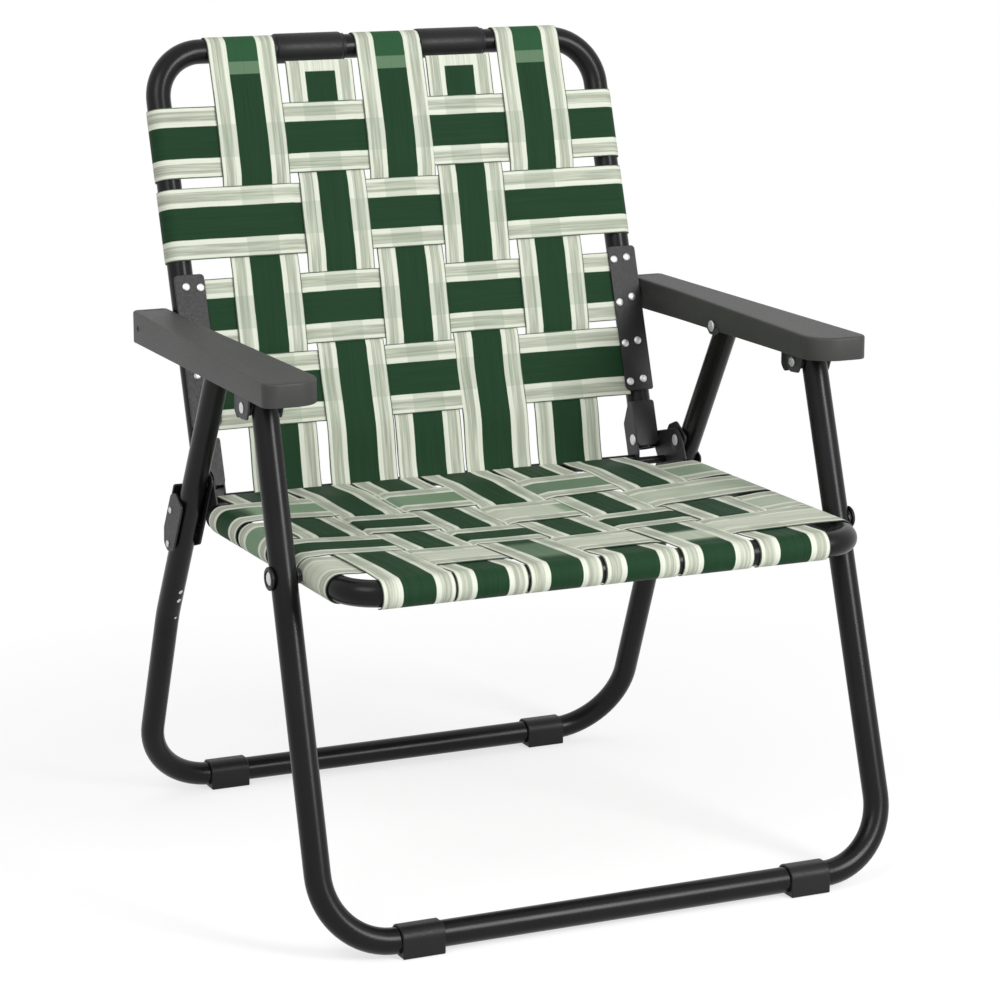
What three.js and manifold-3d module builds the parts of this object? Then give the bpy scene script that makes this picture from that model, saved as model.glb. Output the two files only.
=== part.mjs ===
// A folding webbed lawn chair: two tube leg frames under plastic armrests, a tube seat frame
// and a tube back frame, both laced with flat woven straps. Millimetres, +Z up, the sitter
// faces -Y, +X is the viewer's right from the front, the floor is Z = 0.
import * as THREE from 'three';
import { mergeVertices } from 'three/addons/utils/BufferGeometryUtils.js';
import Module from 'manifold-3d';

const wasm = await Module();
wasm.setup();

// Clearances and small counts shared by every piece
const GAP = 0.3;
const SLIDE_GAP = 0.4;
const OVERRUN = 5;
const TUBE_SIDES = 16;
const BORE_SIDES = 10;
const BEND_STEPS = 6;
const PIN_SIDES = 16;
const WRAP_STEPS = 8;

// Tubes
const TUBE_DIAMETER = 25;
const REAR_TUBE_DIAMETER = 24;
const TUBE_WALL = 1.3;
const ROD_DIAMETER = 8;

// Width of the chair: half the distance between the axes of the back's uprights. The seat, the
// rear legs, the armrests and the front legs stand outside the uprights, each beside the last.
const BACK_HALF_WIDTH = 245.5;

// Foot caps, and the floor bars that lie in them; each cap's place is set in from the leg's axis
const CAP_WALL = 2;
const CAP_SIDE_EXTRA = 0.6;
const CAP_CORNER = 9;
const FRONT_CAP_LENGTH = 42;
const REAR_CAP_LENGTH = 42;
const FRONT_CAP_INSET = 91;
const REAR_CAP_INSET = 90.2;

// Front leg frame: its legs stand inside the armrests' edge and spread towards the floor
const FRONT_LEG_INSET = 10;
const FRONT_LEG_SPLAY = 5;
const FRONT_BAR_Y = 0;
const FRONT_LEG_RUN = 148.8;
const FRONT_BEND_RADIUS = 68;

// Armrests: straight beside the back, then wider and thinner towards the front
const ARM_BOTTOM_Z = 495;
const ARM_FRONT_RISE = 4;
const ARM_REAR_HEIGHT = 32;
const ARM_FRONT_HEIGHT = 22.5;
const ARM_REAR_WIDTH = 37.6;
const ARM_INNER_TAPER = 8.4;
const ARM_OUTER_TAPER = 14;
const ARM_STRAIGHT_LENGTH = 112;
const ARM_FRONT_REACH = 77;
const ARM_REAR_REACH = 12.5;
const ARM_WALL = 2.5;
const ARM_TOP_WALL = 5;
const ARM_INNER_CORNER = 33;
const ARM_OUTER_CORNER = 11;
const ARM_REAR_CORNER = 6;
const LUG_RADIUS = 9;
const LUG_WIDTH = 34;
const LUG_WALL = 2.2;

// Pivots of the armrests: places along the side view, heights from the armrest's rear underside
const ARM_FRONT_PIVOT_Y = 161;
const ARM_FRONT_PIVOT_DROP = 8;
const ARM_REAR_LEG_PIVOT_Y = 303;
const ARM_REAR_LEG_PIVOT_RISE = 6.5;
const ARM_BACK_PIVOT_Y = 484.5;
const ARM_BACK_PIVOT_RISE = 15.7;

// Seat frame: its rails end in front of the back hinge; the saddle pivot and the rear rod are
// placed from that hinge
const SEAT_AXIS_Z = 339;
const SEAT_FRONT_Y = 8;
const SEAT_BEND_RADIUS = 38;
const RAIL_END_AHEAD = 65.7;
const SADDLE_PIVOT_AHEAD = 43.7;
const SADDLE_PIVOT_RISE = 5.8;
const SEAT_ROD_AHEAD = 20.7;
const SEAT_ROD_DROP = 18.7;

// Back frame, in a tilted frame that starts at a point of the upright's axis above the hinge
const BACK_TILT_LESS = THREE.MathUtils.degToRad(3.42);
const BACK_HINGE_DROP = 20;
const BACK_HINGE_AHEAD = 5.3;
const BACK_TOP = 416;
const BACK_FOOT = 30;
const BACK_ROD_DROP = 39;
const BACK_BEND_RADIUS = 50;

// Rear leg frame
const REAR_BAR_Y = 556;
const REAR_KINK_DISTANCE = 330;
const REAR_KINK_RADIUS = 150;
const REAR_TOP_OVERRUN = 11;
const REAR_BEND_RADIUS = 75;

// Webbing: places are shares of the span between two margins, widths what the spacing leaves
const STRAP_THICKNESS = 1.2;
const WEAVE_STEP = 0.9;
const BACK_STRAP_COUNT = 5;
const BACK_STRAP_MARGIN = 50;
const BACK_STRAP_GAP = 4;
const BACK_BAND_SHARES = [0, 0.324, 0.6875, 1];
const BACK_BAND_TOP_MARGIN = 96;
const BACK_BAND_LOWEST = 64;
const BACK_BAND_GAP = 7;
const SEAT_STRAP_SHARES = [0, 0.1875, 0.38, 0.583, 0.789, 1];
const SEAT_STRAP_LEFT_MARGIN = 58.4;
const SEAT_STRAP_RIGHT_MARGIN = 76.4;
const SEAT_STRAP_GAP = 4;
const SEAT_BAND_SHARES = [0, 0.3077, 0.65, 1];
const SEAT_BAND_AHEAD_OF_PIVOT = 26.2;
const SEAT_BAND_REAR_MARGIN = 50;
const SEAT_BAND_GAP = 4;
const WRAPPED_BAND_COUNT = 2;
const GRIP_WALL = 3;
const GRIP_END_GAP = 1.5;

// Plates, brackets and pins
const PLATE = 2;
const SIDE_PLATE_LOW = 31;
const SIDE_PLATE_HIGH = 186;
const SIDE_PLATE_WIDTH = 32;
const SIDE_PLATE_THICKNESS = 2;
const LOWER_BRACKET_TOP = 20;
const EAR_BELOW_ROD = 8;
const FOOT_STEP = 2;
const LEG_BRACKET_LENGTH = 42;
const LEG_BRACKET_WALL = 2.2;
const LEG_BRACKET_DEPTH = 24;
const LEG_BRACKET_FRONT_CORNER = 3;
const LEG_BRACKET_REAR_CORNER = 6;
const SEAT_PLATE_CORNER = 6;
const SEAT_PLATE_EYE = 8;
const PIN_RADIUS = 3;
const HINGE_PIN_RADIUS = 3.5;
const SEAT_PIN_RADIUS = 4;
const HEAD_RADIUS = 6;
const HEAD_HEIGHT = 2;
const THIN_HEAD_HEIGHT = 0.9;
const SEAT_CAP_RADIUS = 11;
const SEAT_CAP_HEIGHT = 4;
const BACK_PIN_DEPTH = 6;
const SADDLE_END = 84;
const SADDLE_INNER_START = 14;
const SADDLE_OUTER_START = 13;
const SADDLE_CORNER = 14;
const SADDLE_FRONT = 13;
const SADDLE_BACK = 25;
const SADDLE_BRIDGE = 3;
const SADDLE_REAR_GAP = 4;

// Shares of a rivet head's radius and height where its rim starts
const HEAD_TOP_SHARE = 0.8;
const HEAD_RIM_SHARE = 0.5;

// Where the wraps of the straps start and end, as angles round the bar from its rear or outside
const TOP = Math.PI / 2;
const UNDER = -Math.PI / 2;
const BAND_WRAP_END = -0.6 * Math.PI;
const ROD_WRAP_END = -0.6 * Math.PI;
const FRONT_WRAP_START = 1.5 * Math.PI;
const TOP_WRAP_START = -0.55 * Math.PI;
const LOWER_ROD_WRAP_START = 0.42 * Math.PI;
const LOWER_ROD_WRAP_END = 1.45 * Math.PI;

// Derived heights and places of the pivots in the side view
const tubeRadius = TUBE_DIAMETER / 2;
const rearRadius = REAR_TUBE_DIAMETER / 2;
const rodRadius = ROD_DIAMETER / 2;
const barZ = tubeRadius + CAP_WALL;
const armFrontPivotZ = ARM_BOTTOM_Z - ARM_FRONT_PIVOT_DROP;
const armRearLegPivotZ = ARM_BOTTOM_Z + ARM_REAR_LEG_PIVOT_RISE;
const armBackPivotZ = ARM_BOTTOM_Z + ARM_BACK_PIVOT_RISE;
const frontLegSlope = FRONT_LEG_RUN / (armFrontPivotZ - barZ);
const seatPivotY = FRONT_BAR_Y + (SEAT_AXIS_Z - barZ) * frontLegSlope;

// The back hinge lies so that arm, back, seat and front leg form a parallelogram
const backHingeY = ARM_BACK_PIVOT_Y - (ARM_FRONT_PIVOT_Y - seatPivotY);
const backHingeZ = armBackPivotZ - (armFrontPivotZ - SEAT_AXIS_Z);
const seatRailEndY = backHingeY - RAIL_END_AHEAD;
const saddlePivotY = backHingeY - SADDLE_PIVOT_AHEAD;
const saddlePivotZ = backHingeZ + SADDLE_PIVOT_RISE;
const seatRodY = backHingeY - SEAT_ROD_AHEAD;
const seatRodZ = backHingeZ - SEAT_ROD_DROP;

// The tilted frame of the back: the uprights lean less than the line between their two pivots
const pivotLean = Math.atan2(ARM_BACK_PIVOT_Y - backHingeY, armBackPivotZ - backHingeZ);
const backTilt = pivotLean - BACK_TILT_LESS;
const backUp = new THREE.Vector3(0, Math.sin(backTilt), Math.cos(backTilt));
const backFront = new THREE.Vector3(0, -Math.cos(backTilt), Math.sin(backTilt));
const backOrigin = new THREE.Vector3(0, backHingeY, backHingeZ)
  .addScaledVector(backUp, BACK_HINGE_DROP)
  .addScaledVector(backFront, -BACK_HINGE_AHEAD);

// Derived widths, from the uprights outwards
const plateInnerX = BACK_HALF_WIDTH + tubeRadius + SLIDE_GAP;
const seatHalfWidth = plateInnerX + PLATE / 2;
const saddleInnerX = plateInnerX + PLATE + SLIDE_GAP;
const rearHalfWidth = saddleInnerX + PLATE + SLIDE_GAP + rearRadius;
const saddleOuterX = rearHalfWidth + rearRadius + SLIDE_GAP;
const armRearInnerX = plateInnerX + PLATE;
const armRearOuterX = armRearInnerX + ARM_REAR_WIDTH;
const frontTopHalfWidth = armRearOuterX - FRONT_LEG_INSET;
const frontHalfWidth = frontTopHalfWidth + FRONT_LEG_SPLAY;

// Derived sizes of the armrests
const armFrontY = ARM_FRONT_PIVOT_Y - ARM_FRONT_REACH;
const armRearY = ARM_BACK_PIVOT_Y + ARM_REAR_REACH;
const armStraightY = armRearY - ARM_STRAIGHT_LENGTH;
const armFrontInnerX = armRearInnerX - ARM_INNER_TAPER;
const armFrontOuterX = armRearOuterX + ARM_OUTER_TAPER;
const armFrontBottomZ = ARM_BOTTOM_Z + ARM_FRONT_RISE;

// Derived sizes of the webbing
const strapLevel = GAP + STRAP_THICKNESS / 2;
const weaveLevel = tubeRadius + strapLevel;
const backStrapSpan = 2 * (BACK_HALF_WIDTH - BACK_STRAP_MARGIN);
const backStrapWidth = (backStrapSpan - (BACK_STRAP_COUNT - 1) * BACK_STRAP_GAP) / BACK_STRAP_COUNT;
const backStrapPitch = backStrapWidth + BACK_STRAP_GAP;
const backBandPlaces = sharePlaces(BACK_BAND_SHARES, BACK_TOP - BACK_BAND_TOP_MARGIN, BACK_BAND_LOWEST);
const backBandWidth = smallestStep(backBandPlaces) - BACK_BAND_GAP;
const seatStrapPlaces = sharePlaces(
  SEAT_STRAP_SHARES,
  SEAT_STRAP_LEFT_MARGIN - seatHalfWidth,
  seatHalfWidth - SEAT_STRAP_RIGHT_MARGIN,
);
const seatStrapWidth = smallestStep(seatStrapPlaces) - SEAT_STRAP_GAP;
const seatBandPlaces = sharePlaces(
  SEAT_BAND_SHARES,
  seatPivotY - SEAT_BAND_AHEAD_OF_PIVOT,
  seatRailEndY - SEAT_BAND_REAR_MARGIN,
);
const seatBandWidth = smallestStep(seatBandPlaces) - SEAT_BAND_GAP;
const gripLength = 2 * backStrapPitch - backStrapWidth - 2 * GRIP_END_GAP;

// Materials
function material(color, roughness, metalness) {
  return () => new THREE.MeshStandardMaterial({ color, roughness, metalness });
}

const frameMaterial = material(0x26282a, 0.38, 0.4);
const plateMaterial = material(0x242527, 0.5, 0.5);
const plasticMaterial = material(0x4a4a48, 0.6, 0);
const capMaterial = material(0x202020, 0.7, 0);
const rivetMaterial = material(0xc8c8c6, 0.35, 0.9);
const strapMaterial = material(0x284b32, 0.75, 0);

const chair = new THREE.Group();

function addPiece(name, geometry, madeOf, side = 1) {
  const mesh = new THREE.Mesh(geometry, madeOf());
  mesh.name = name;
  mesh.scale.x = side;
  chair.add(mesh);
  return mesh;
}

function addPair(name, geometry, madeOf) {
  addPiece(`${name}_right`, geometry, madeOf, 1);
  addPiece(`${name}_left`, geometry, madeOf, -1);
}

// Closed meshes to solids and back
function toSolid(geometry) {
  const bare = geometry.clone();
  bare.deleteAttribute('normal');
  bare.deleteAttribute('uv');
  const welded = mergeVertices(bare);
  return new wasm.Manifold(new wasm.Mesh({
    numProp: 3,
    vertProperties: new Float32Array(welded.attributes.position.array),
    triVerts: new Uint32Array(welded.index.array),
  }));
}

function toGeometry(solid) {
  const mesh = solid.getMesh();
  const geometry = new THREE.BufferGeometry();
  geometry.setAttribute('position', new THREE.BufferAttribute(new Float32Array(mesh.vertProperties), 3));
  geometry.setIndex(new THREE.BufferAttribute(new Uint32Array(mesh.triVerts), 1));
  geometry.computeVertexNormals();
  return geometry;
}

function cut(geometry, ...tools) {
  let solid = toSolid(geometry);
  for (const tool of tools) {
    solid = solid.subtract(toSolid(tool));
  }
  return toGeometry(solid);
}

function join(geometry, ...others) {
  let solid = toSolid(geometry);
  for (const other of others) {
    solid = solid.add(toSolid(other));
  }
  return toGeometry(solid);
}

// A route through corner points, each corner rounded by an arc of short straight steps
function roundedRoute(corners, radii) {
  const points = [corners[0].clone()];
  for (let i = 1; i < corners.length - 1; i += 1) {
    const toPrevious = corners[i - 1].clone().sub(corners[i]).normalize();
    const toNext = corners[i + 1].clone().sub(corners[i]).normalize();
    const turn = Math.PI - toPrevious.angleTo(toNext);
    const reach = radii[i] * Math.tan(turn / 2);
    const start = corners[i].clone().addScaledVector(toPrevious, reach);
    const inward = toPrevious.clone().add(toNext).normalize();
    const centre = corners[i].clone().addScaledVector(inward, radii[i] / Math.cos(turn / 2));
    const first = start.clone().sub(centre);
    const axis = new THREE.Vector3().crossVectors(toPrevious, toNext).normalize().negate();
    const steps = Math.max(1, Math.round((turn / (Math.PI / 2)) * BEND_STEPS));
    for (let k = 0; k <= steps; k += 1) {
      points.push(first.clone().applyAxisAngle(axis, (turn * k) / steps).add(centre));
    }
  }
  points.push(corners[corners.length - 1].clone());
  return points;
}

// Rings of one section carried along a route; each ring lies in the mitre plane of its corner
function sectionRings(points, radius, sides) {
  const rings = [];
  const forward = points[1].clone().sub(points[0]).normalize();
  const across = new THREE.Vector3(1, 0, 0);
  if (Math.abs(across.dot(forward)) > Math.SQRT1_2) {
    across.set(0, 1, 0);
  }
  across.addScaledVector(forward, -across.dot(forward)).normalize();
  const third = new THREE.Vector3().crossVectors(forward, across);
  const scale = radius / Math.cos(Math.PI / sides);
  let ring = [];
  for (let k = 0; k < sides; k += 1) {
    const angle = (2 * Math.PI * (k + 1 / 2)) / sides;
    ring.push(points[0].clone()
      .addScaledVector(across, scale * Math.cos(angle))
      .addScaledVector(third, scale * Math.sin(angle)));
  }
  rings.push(ring);
  for (let i = 1; i < points.length; i += 1) {
    const along = points[i].clone().sub(points[i - 1]).normalize();
    const normal = along.clone();
    if (i < points.length - 1) {
      normal.add(points[i + 1].clone().sub(points[i]).normalize()).normalize();
    }
    ring = ring.map((corner) => {
      const distance = points[i].clone().sub(corner).dot(normal) / along.dot(normal);
      return corner.clone().addScaledVector(along, distance);
    });
    rings.push(ring);
  }
  return rings;
}

function ringWalls(rings, offset, outward, triangles) {
  const sides = rings[0].length;
  for (let i = 0; i < rings.length - 1; i += 1) {
    for (let k = 0; k < sides; k += 1) {
      const a = offset + i * sides + k;
      const b = offset + i * sides + ((k + 1) % sides);
      const c = a + sides;
      const d = b + sides;
      if (outward) {
        triangles.push(a, b, c, b, d, c);
      } else {
        triangles.push(a, c, b, b, c, d);
      }
    }
  }
}

function solidRod(points, radius, sides) {
  const rings = sectionRings(points, radius, sides);
  const triangles = [];
  ringWalls(rings, 0, true, triangles);
  const last = (rings.length - 1) * sides;
  for (let k = 1; k < sides - 1; k += 1) {
    triangles.push(0, k + 1, k);
    triangles.push(last, last + k, last + k + 1);
  }
  return closedGeometry(rings, triangles);
}

function closedGeometry(rings, triangles) {
  const positions = rings.flat().flatMap((corner) => corner.toArray());
  const geometry = new THREE.BufferGeometry();
  geometry.setAttribute('position', new THREE.Float32BufferAttribute(positions, 3));
  geometry.setIndex(triangles);
  geometry.computeVertexNormals();
  return geometry;
}

// A bent tube with open ends: the full rod less a bore that overruns both ends
function bentTube(corners, radii, radius) {
  const points = roundedRoute(corners, radii);
  const bore = points.map((point) => point.clone());
  const last = bore.length - 1;
  bore[0].addScaledVector(points[0].clone().sub(points[1]).normalize(), OVERRUN);
  bore[last].addScaledVector(points[last].clone().sub(points[last - 1]).normalize(), OVERRUN);
  return cut(solidRod(points, radius, TUBE_SIDES), solidRod(bore, radius - TUBE_WALL, BORE_SIDES));
}

// A plate or block whose outline is drawn in the side view (y, z), from x0 to x1
const sideView = new THREE.Matrix4().makeBasis(
  new THREE.Vector3(0, 1, 0),
  new THREE.Vector3(0, 0, 1),
  new THREE.Vector3(1, 0, 0),
);

function sidePlate(shape, x0, x1) {
  const geometry = new THREE.ExtrudeGeometry(shape, {
    depth: x1 - x0,
    bevelEnabled: false,
    curveSegments: BEND_STEPS,
  });
  return geometry.applyMatrix4(sideView).translate(x0, 0, 0);
}

// A rod or a pin along X, with its centre at (y, z) in the side view
function crossRod(x0, x1, y, z, radius, sides = PIN_SIDES) {
  const ends = [new THREE.Vector3(x0, y, z), new THREE.Vector3(x1, y, z)];
  return solidRod(ends, radius, sides);
}

// A turned rivet along X: shank with a head at each end
function rivet(x0, x1, y, z, shankRadius, innerHead, outerHead) {
  const { radius: innerRadius, height: innerHeight } = innerHead;
  const { radius: outerRadius, height: outerHeight } = outerHead;
  const profile = [
    [0, x0 - innerHeight],
    [innerRadius * HEAD_TOP_SHARE, x0 - innerHeight],
    [innerRadius, x0 - innerHeight * HEAD_RIM_SHARE],
    [innerRadius, x0],
    [shankRadius, x0],
    [shankRadius, x1],
    [outerRadius, x1],
    [outerRadius, x1 + outerHeight * HEAD_RIM_SHARE],
    [outerRadius * HEAD_TOP_SHARE, x1 + outerHeight],
    [0, x1 + outerHeight],
  ].map(([r, x]) => new THREE.Vector2(r, x));
  const geometry = new THREE.LatheGeometry(profile, PIN_SIDES);
  geometry.rotateZ(-Math.PI / 2);
  return geometry.translate(0, y, z);
}

// A flat strap: a path in a plane, thickened both ways and drawn out over its width.
// origin, right and up place the path's plane; the width runs along right x up.
function strap(path, width, origin, right, up) {
  const left = [];
  const rightSide = [];
  for (let i = 0; i < path.length; i += 1) {
    const before = path[Math.max(0, i - 1)];
    const after = path[Math.min(path.length - 1, i + 1)];
    const inDirection = path[i].clone().sub(before).normalize();
    const outDirection = after.clone().sub(path[i]).normalize();
    const direction = inDirection.clone().add(outDirection).normalize();
    const normal = new THREE.Vector2(-direction.y, direction.x);
    const along = i === 0 ? outDirection : inDirection;
    const stretch = 1 / Math.max(Math.SQRT1_2, Math.abs(direction.dot(along)));
    const half = (STRAP_THICKNESS / 2) * stretch;
    left.push(path[i].clone().addScaledVector(normal, half));
    rightSide.push(path[i].clone().addScaledVector(normal, -half));
  }
  const shape = new THREE.Shape([...left, ...rightSide.reverse()]);
  const geometry = new THREE.ExtrudeGeometry(shape, { depth: width, bevelEnabled: false });
  const out = new THREE.Vector3().crossVectors(right, up);
  const matrix = new THREE.Matrix4().makeBasis(right, up, out).setPosition(origin);
  return geometry.translate(0, 0, -width / 2).applyMatrix4(matrix);
}

// Arc points for a strap that wraps round a bar, from one angle to another (radians)
function wrapArc(centreX, centreY, radius, from, to) {
  const points = [];
  const step = (to - from) / WRAP_STEPS;
  const reach = radius / Math.cos(step / 2);
  for (let k = 0; k <= WRAP_STEPS; k += 1) {
    const angle = from + step * k;
    points.push(new THREE.Vector2(centreX + reach * Math.cos(angle), centreY + reach * Math.sin(angle)));
  }
  return points;
}

// Levels of a strap that goes over and under the straps that cross it
function weavePath(level, crossings, halfWidth, overFirst) {
  const points = [];
  crossings.forEach((place, index) => {
    const over = (index % 2 === 0) === overFirst;
    const height = level + (over ? WEAVE_STEP : -WEAVE_STEP);
    const direction = Math.sign(crossings[crossings.length - 1] - crossings[0]);
    points.push(new THREE.Vector2(place - direction * halfWidth, height));
    points.push(new THREE.Vector2(place + direction * halfWidth, height));
  });
  return points;
}

function spread(count, pitch) {
  return Array.from({ length: count }, (_, index) => (index - (count - 1) / 2) * pitch);
}

// Places at the given shares of a span, and the smallest step between neighbours
function sharePlaces(shares, first, last) {
  return shares.map((share) => first + (last - first) * share);
}

function smallestStep(places) {
  return Math.min(...places.slice(1).map((place, index) => Math.abs(place - places[index])));
}

function backPoint(x, up, front) {
  return backOrigin.clone().addScaledVector(backUp, up).addScaledVector(backFront, front).setX(x);
}

// Front leg frame: the brackets on the legs' tops reach up to the armrests
const bracketRearY = ARM_FRONT_PIVOT_Y - tubeRadius - LEG_BRACKET_WALL + LEG_BRACKET_LENGTH;
const bracketTopZ = armUnderside(bracketRearY) - GAP;
const frontLegTopZ = bracketTopZ - LEG_BRACKET_WALL - GAP;

function armUnderside(y) {
  return ARM_BOTTOM_Z + (ARM_FRONT_RISE * (armRearY - y)) / (armRearY - armFrontY);
}

function frontLegX(z) {
  const share = (z - barZ) / (armFrontPivotZ - barZ);
  return frontHalfWidth + (frontTopHalfWidth - frontHalfWidth) * share;
}

function frontLegY(z) {
  return FRONT_BAR_Y + (z - barZ) * frontLegSlope;
}

// A pair of mirrored bores along X
function boredBothSides(x0, x1, y, z, radius) {
  return [crossRod(x0, x1, y, z, radius), crossRod(-x1, -x0, y, z, radius)];
}

const frontRouteTopZ = frontLegTopZ + tubeRadius;
const frontCorners = [
  new THREE.Vector3(-frontLegX(frontRouteTopZ), frontLegY(frontRouteTopZ), frontRouteTopZ),
  new THREE.Vector3(-frontHalfWidth, FRONT_BAR_Y, barZ),
  new THREE.Vector3(frontHalfWidth, FRONT_BAR_Y, barZ),
  new THREE.Vector3(frontLegX(frontRouteTopZ), frontLegY(frontRouteTopZ), frontRouteTopZ),
];
const aboveLegs = new THREE.Shape([
  new THREE.Vector2(FRONT_BAR_Y, frontLegTopZ),
  new THREE.Vector2(bracketRearY + TUBE_DIAMETER, frontLegTopZ),
  new THREE.Vector2(bracketRearY + TUBE_DIAMETER, frontRouteTopZ + TUBE_DIAMETER),
  new THREE.Vector2(FRONT_BAR_Y, frontRouteTopZ + TUBE_DIAMETER),
]);
const frontRadii = [0, FRONT_BEND_RADIUS, FRONT_BEND_RADIUS, 0];
const frontLegReach = tubeRadius + OVERRUN;
const seatPivotLegX = frontLegX(SEAT_AXIS_Z);
const frontTopX = frontLegX(armFrontPivotZ);
const frontLegFrame = cut(
  bentTube(frontCorners, frontRadii, tubeRadius),
  sidePlate(aboveLegs, -armFrontOuterX, armFrontOuterX),
  ...boredBothSides(
    seatPivotLegX - frontLegReach,
    seatPivotLegX + frontLegReach,
    seatPivotY,
    SEAT_AXIS_Z,
    SEAT_PIN_RADIUS + GAP,
  ),
  ...boredBothSides(
    frontTopX - frontLegReach,
    frontTopX + frontLegReach,
    ARM_FRONT_PIVOT_Y,
    armFrontPivotZ,
    PIN_RADIUS + GAP,
  ),
);
addPiece('front_leg_frame', frontLegFrame, frameMaterial);

// Foot caps: sleeves bored to the floor bar's own route, flat underneath and at the sides, with
// rounded upper corners
function footCap(x, y, route, barRadius, length) {
  const outer = barZ + CAP_SIDE_EXTRA;
  const top = barZ + outer;
  const outline = new THREE.Shape();
  outline.moveTo(y - outer, 0);
  outline.lineTo(y + outer, 0);
  outline.absarc(y + outer - CAP_CORNER, top - CAP_CORNER, CAP_CORNER, 0, TOP, false);
  outline.absarc(y - outer + CAP_CORNER, top - CAP_CORNER, CAP_CORNER, TOP, Math.PI, false);
  outline.closePath();
  return cut(
    sidePlate(outline, x - length / 2, x + length / 2),
    solidRod(route, barRadius + GAP, TUBE_SIDES),
  );
}

addPair('front_foot_cap', footCap(
  frontHalfWidth - FRONT_CAP_INSET,
  FRONT_BAR_Y,
  roundedRoute(frontCorners, frontRadii),
  tubeRadius,
  FRONT_CAP_LENGTH,
), capMaterial);

// Front leg brackets: a flat cap on the leg's top end with an ear on each side for the arm pivot
const bracketFrontY = bracketRearY - LEG_BRACKET_LENGTH;
const bracketLowZ = bracketTopZ - LEG_BRACKET_DEPTH;
const bracketInnerX = frontTopX - tubeRadius - SLIDE_GAP;
const bracketOuterX = frontTopX + tubeRadius + SLIDE_GAP;
const bracketEar = new THREE.Shape([
  new THREE.Vector2(bracketFrontY, bracketTopZ),
  new THREE.Vector2(bracketFrontY, bracketLowZ + LEG_BRACKET_FRONT_CORNER),
  new THREE.Vector2(bracketFrontY + LEG_BRACKET_FRONT_CORNER, bracketLowZ),
  new THREE.Vector2(bracketRearY - LEG_BRACKET_REAR_CORNER, bracketLowZ),
  new THREE.Vector2(bracketRearY, bracketLowZ + LEG_BRACKET_REAR_CORNER),
  new THREE.Vector2(bracketRearY, bracketTopZ),
]);
const bracketTop = new THREE.Shape([
  new THREE.Vector2(bracketFrontY, bracketTopZ - LEG_BRACKET_WALL),
  new THREE.Vector2(bracketRearY, bracketTopZ - LEG_BRACKET_WALL),
  new THREE.Vector2(bracketRearY, bracketTopZ),
  new THREE.Vector2(bracketFrontY, bracketTopZ),
]);
const earInnerFace = bracketInnerX - LEG_BRACKET_WALL;
const earOuterFace = bracketOuterX + LEG_BRACKET_WALL;
const frontLegBracket = cut(
  join(
    sidePlate(bracketEar, earInnerFace, bracketInnerX),
    sidePlate(bracketEar, bracketOuterX, earOuterFace),
    sidePlate(bracketTop, earInnerFace, earOuterFace),
  ),
  crossRod(
    earInnerFace - OVERRUN,
    earOuterFace + OVERRUN,
    ARM_FRONT_PIVOT_Y,
    armFrontPivotZ,
    PIN_RADIUS + GAP,
  ),
);
addPair('front_leg_bracket', frontLegBracket, plateMaterial);

// Seat pivot pins: the big capped rivets through the front legs and the seat rails
const seatRailInnerX = seatHalfWidth - tubeRadius;
addPair('seat_pivot_pin', rivet(
  seatRailInnerX - GAP,
  seatPivotLegX + tubeRadius + GAP,
  seatPivotY,
  SEAT_AXIS_Z,
  SEAT_PIN_RADIUS,
  { radius: HEAD_RADIUS, height: HEAD_HEIGHT },
  { radius: SEAT_CAP_RADIUS, height: SEAT_CAP_HEIGHT },
), rivetMaterial);

// Seat frame
const seatCorners = [
  new THREE.Vector3(-seatHalfWidth, seatRailEndY, SEAT_AXIS_Z),
  new THREE.Vector3(-seatHalfWidth, SEAT_FRONT_Y, SEAT_AXIS_Z),
  new THREE.Vector3(seatHalfWidth, SEAT_FRONT_Y, SEAT_AXIS_Z),
  new THREE.Vector3(seatHalfWidth, seatRailEndY, SEAT_AXIS_Z),
];
const seatFrame = cut(
  bentTube(seatCorners, [0, SEAT_BEND_RADIUS, SEAT_BEND_RADIUS, 0], tubeRadius),
  ...boredBothSides(
    seatRailInnerX - OVERRUN,
    seatHalfWidth + tubeRadius + OVERRUN,
    seatPivotY,
    SEAT_AXIS_Z,
    SEAT_PIN_RADIUS + GAP,
  ),
);
addPiece('seat_frame', seatFrame, frameMaterial);

// Seat rear brackets: a block on the rail's end, and a plate out to the two rear pivots
const blockY = seatRailEndY + GAP;
const blockEndY = seatRailEndY + tubeRadius;
const railTopZ = SEAT_AXIS_Z + tubeRadius;
const railUnderZ = SEAT_AXIS_Z - tubeRadius;
const bracketBlock = new THREE.Shape([
  new THREE.Vector2(blockY, railUnderZ),
  new THREE.Vector2(blockEndY, railUnderZ),
  new THREE.Vector2(blockEndY, SEAT_AXIS_Z + tubeRadius / 2),
  new THREE.Vector2(seatRailEndY + tubeRadius / 2, railTopZ),
  new THREE.Vector2(blockY, railTopZ),
]);
const seatPlateOutline = new THREE.Shape();
seatPlateOutline.moveTo(blockY, railUnderZ);
seatPlateOutline.lineTo(seatRodY + tubeRadius, SEAT_AXIS_Z - rodRadius);
seatPlateOutline.lineTo(backHingeY + SEAT_PLATE_CORNER, backHingeZ - SEAT_PLATE_CORNER);
seatPlateOutline.absarc(backHingeY, backHingeZ, SEAT_PLATE_EYE, UNDER / 2, TOP, false);
seatPlateOutline.lineTo(saddlePivotY, saddlePivotZ + tubeRadius);
seatPlateOutline.absarc(saddlePivotY, saddlePivotZ, tubeRadius, TOP, Math.PI, false);
seatPlateOutline.lineTo(blockY, railTopZ);
seatPlateOutline.closePath();
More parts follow.
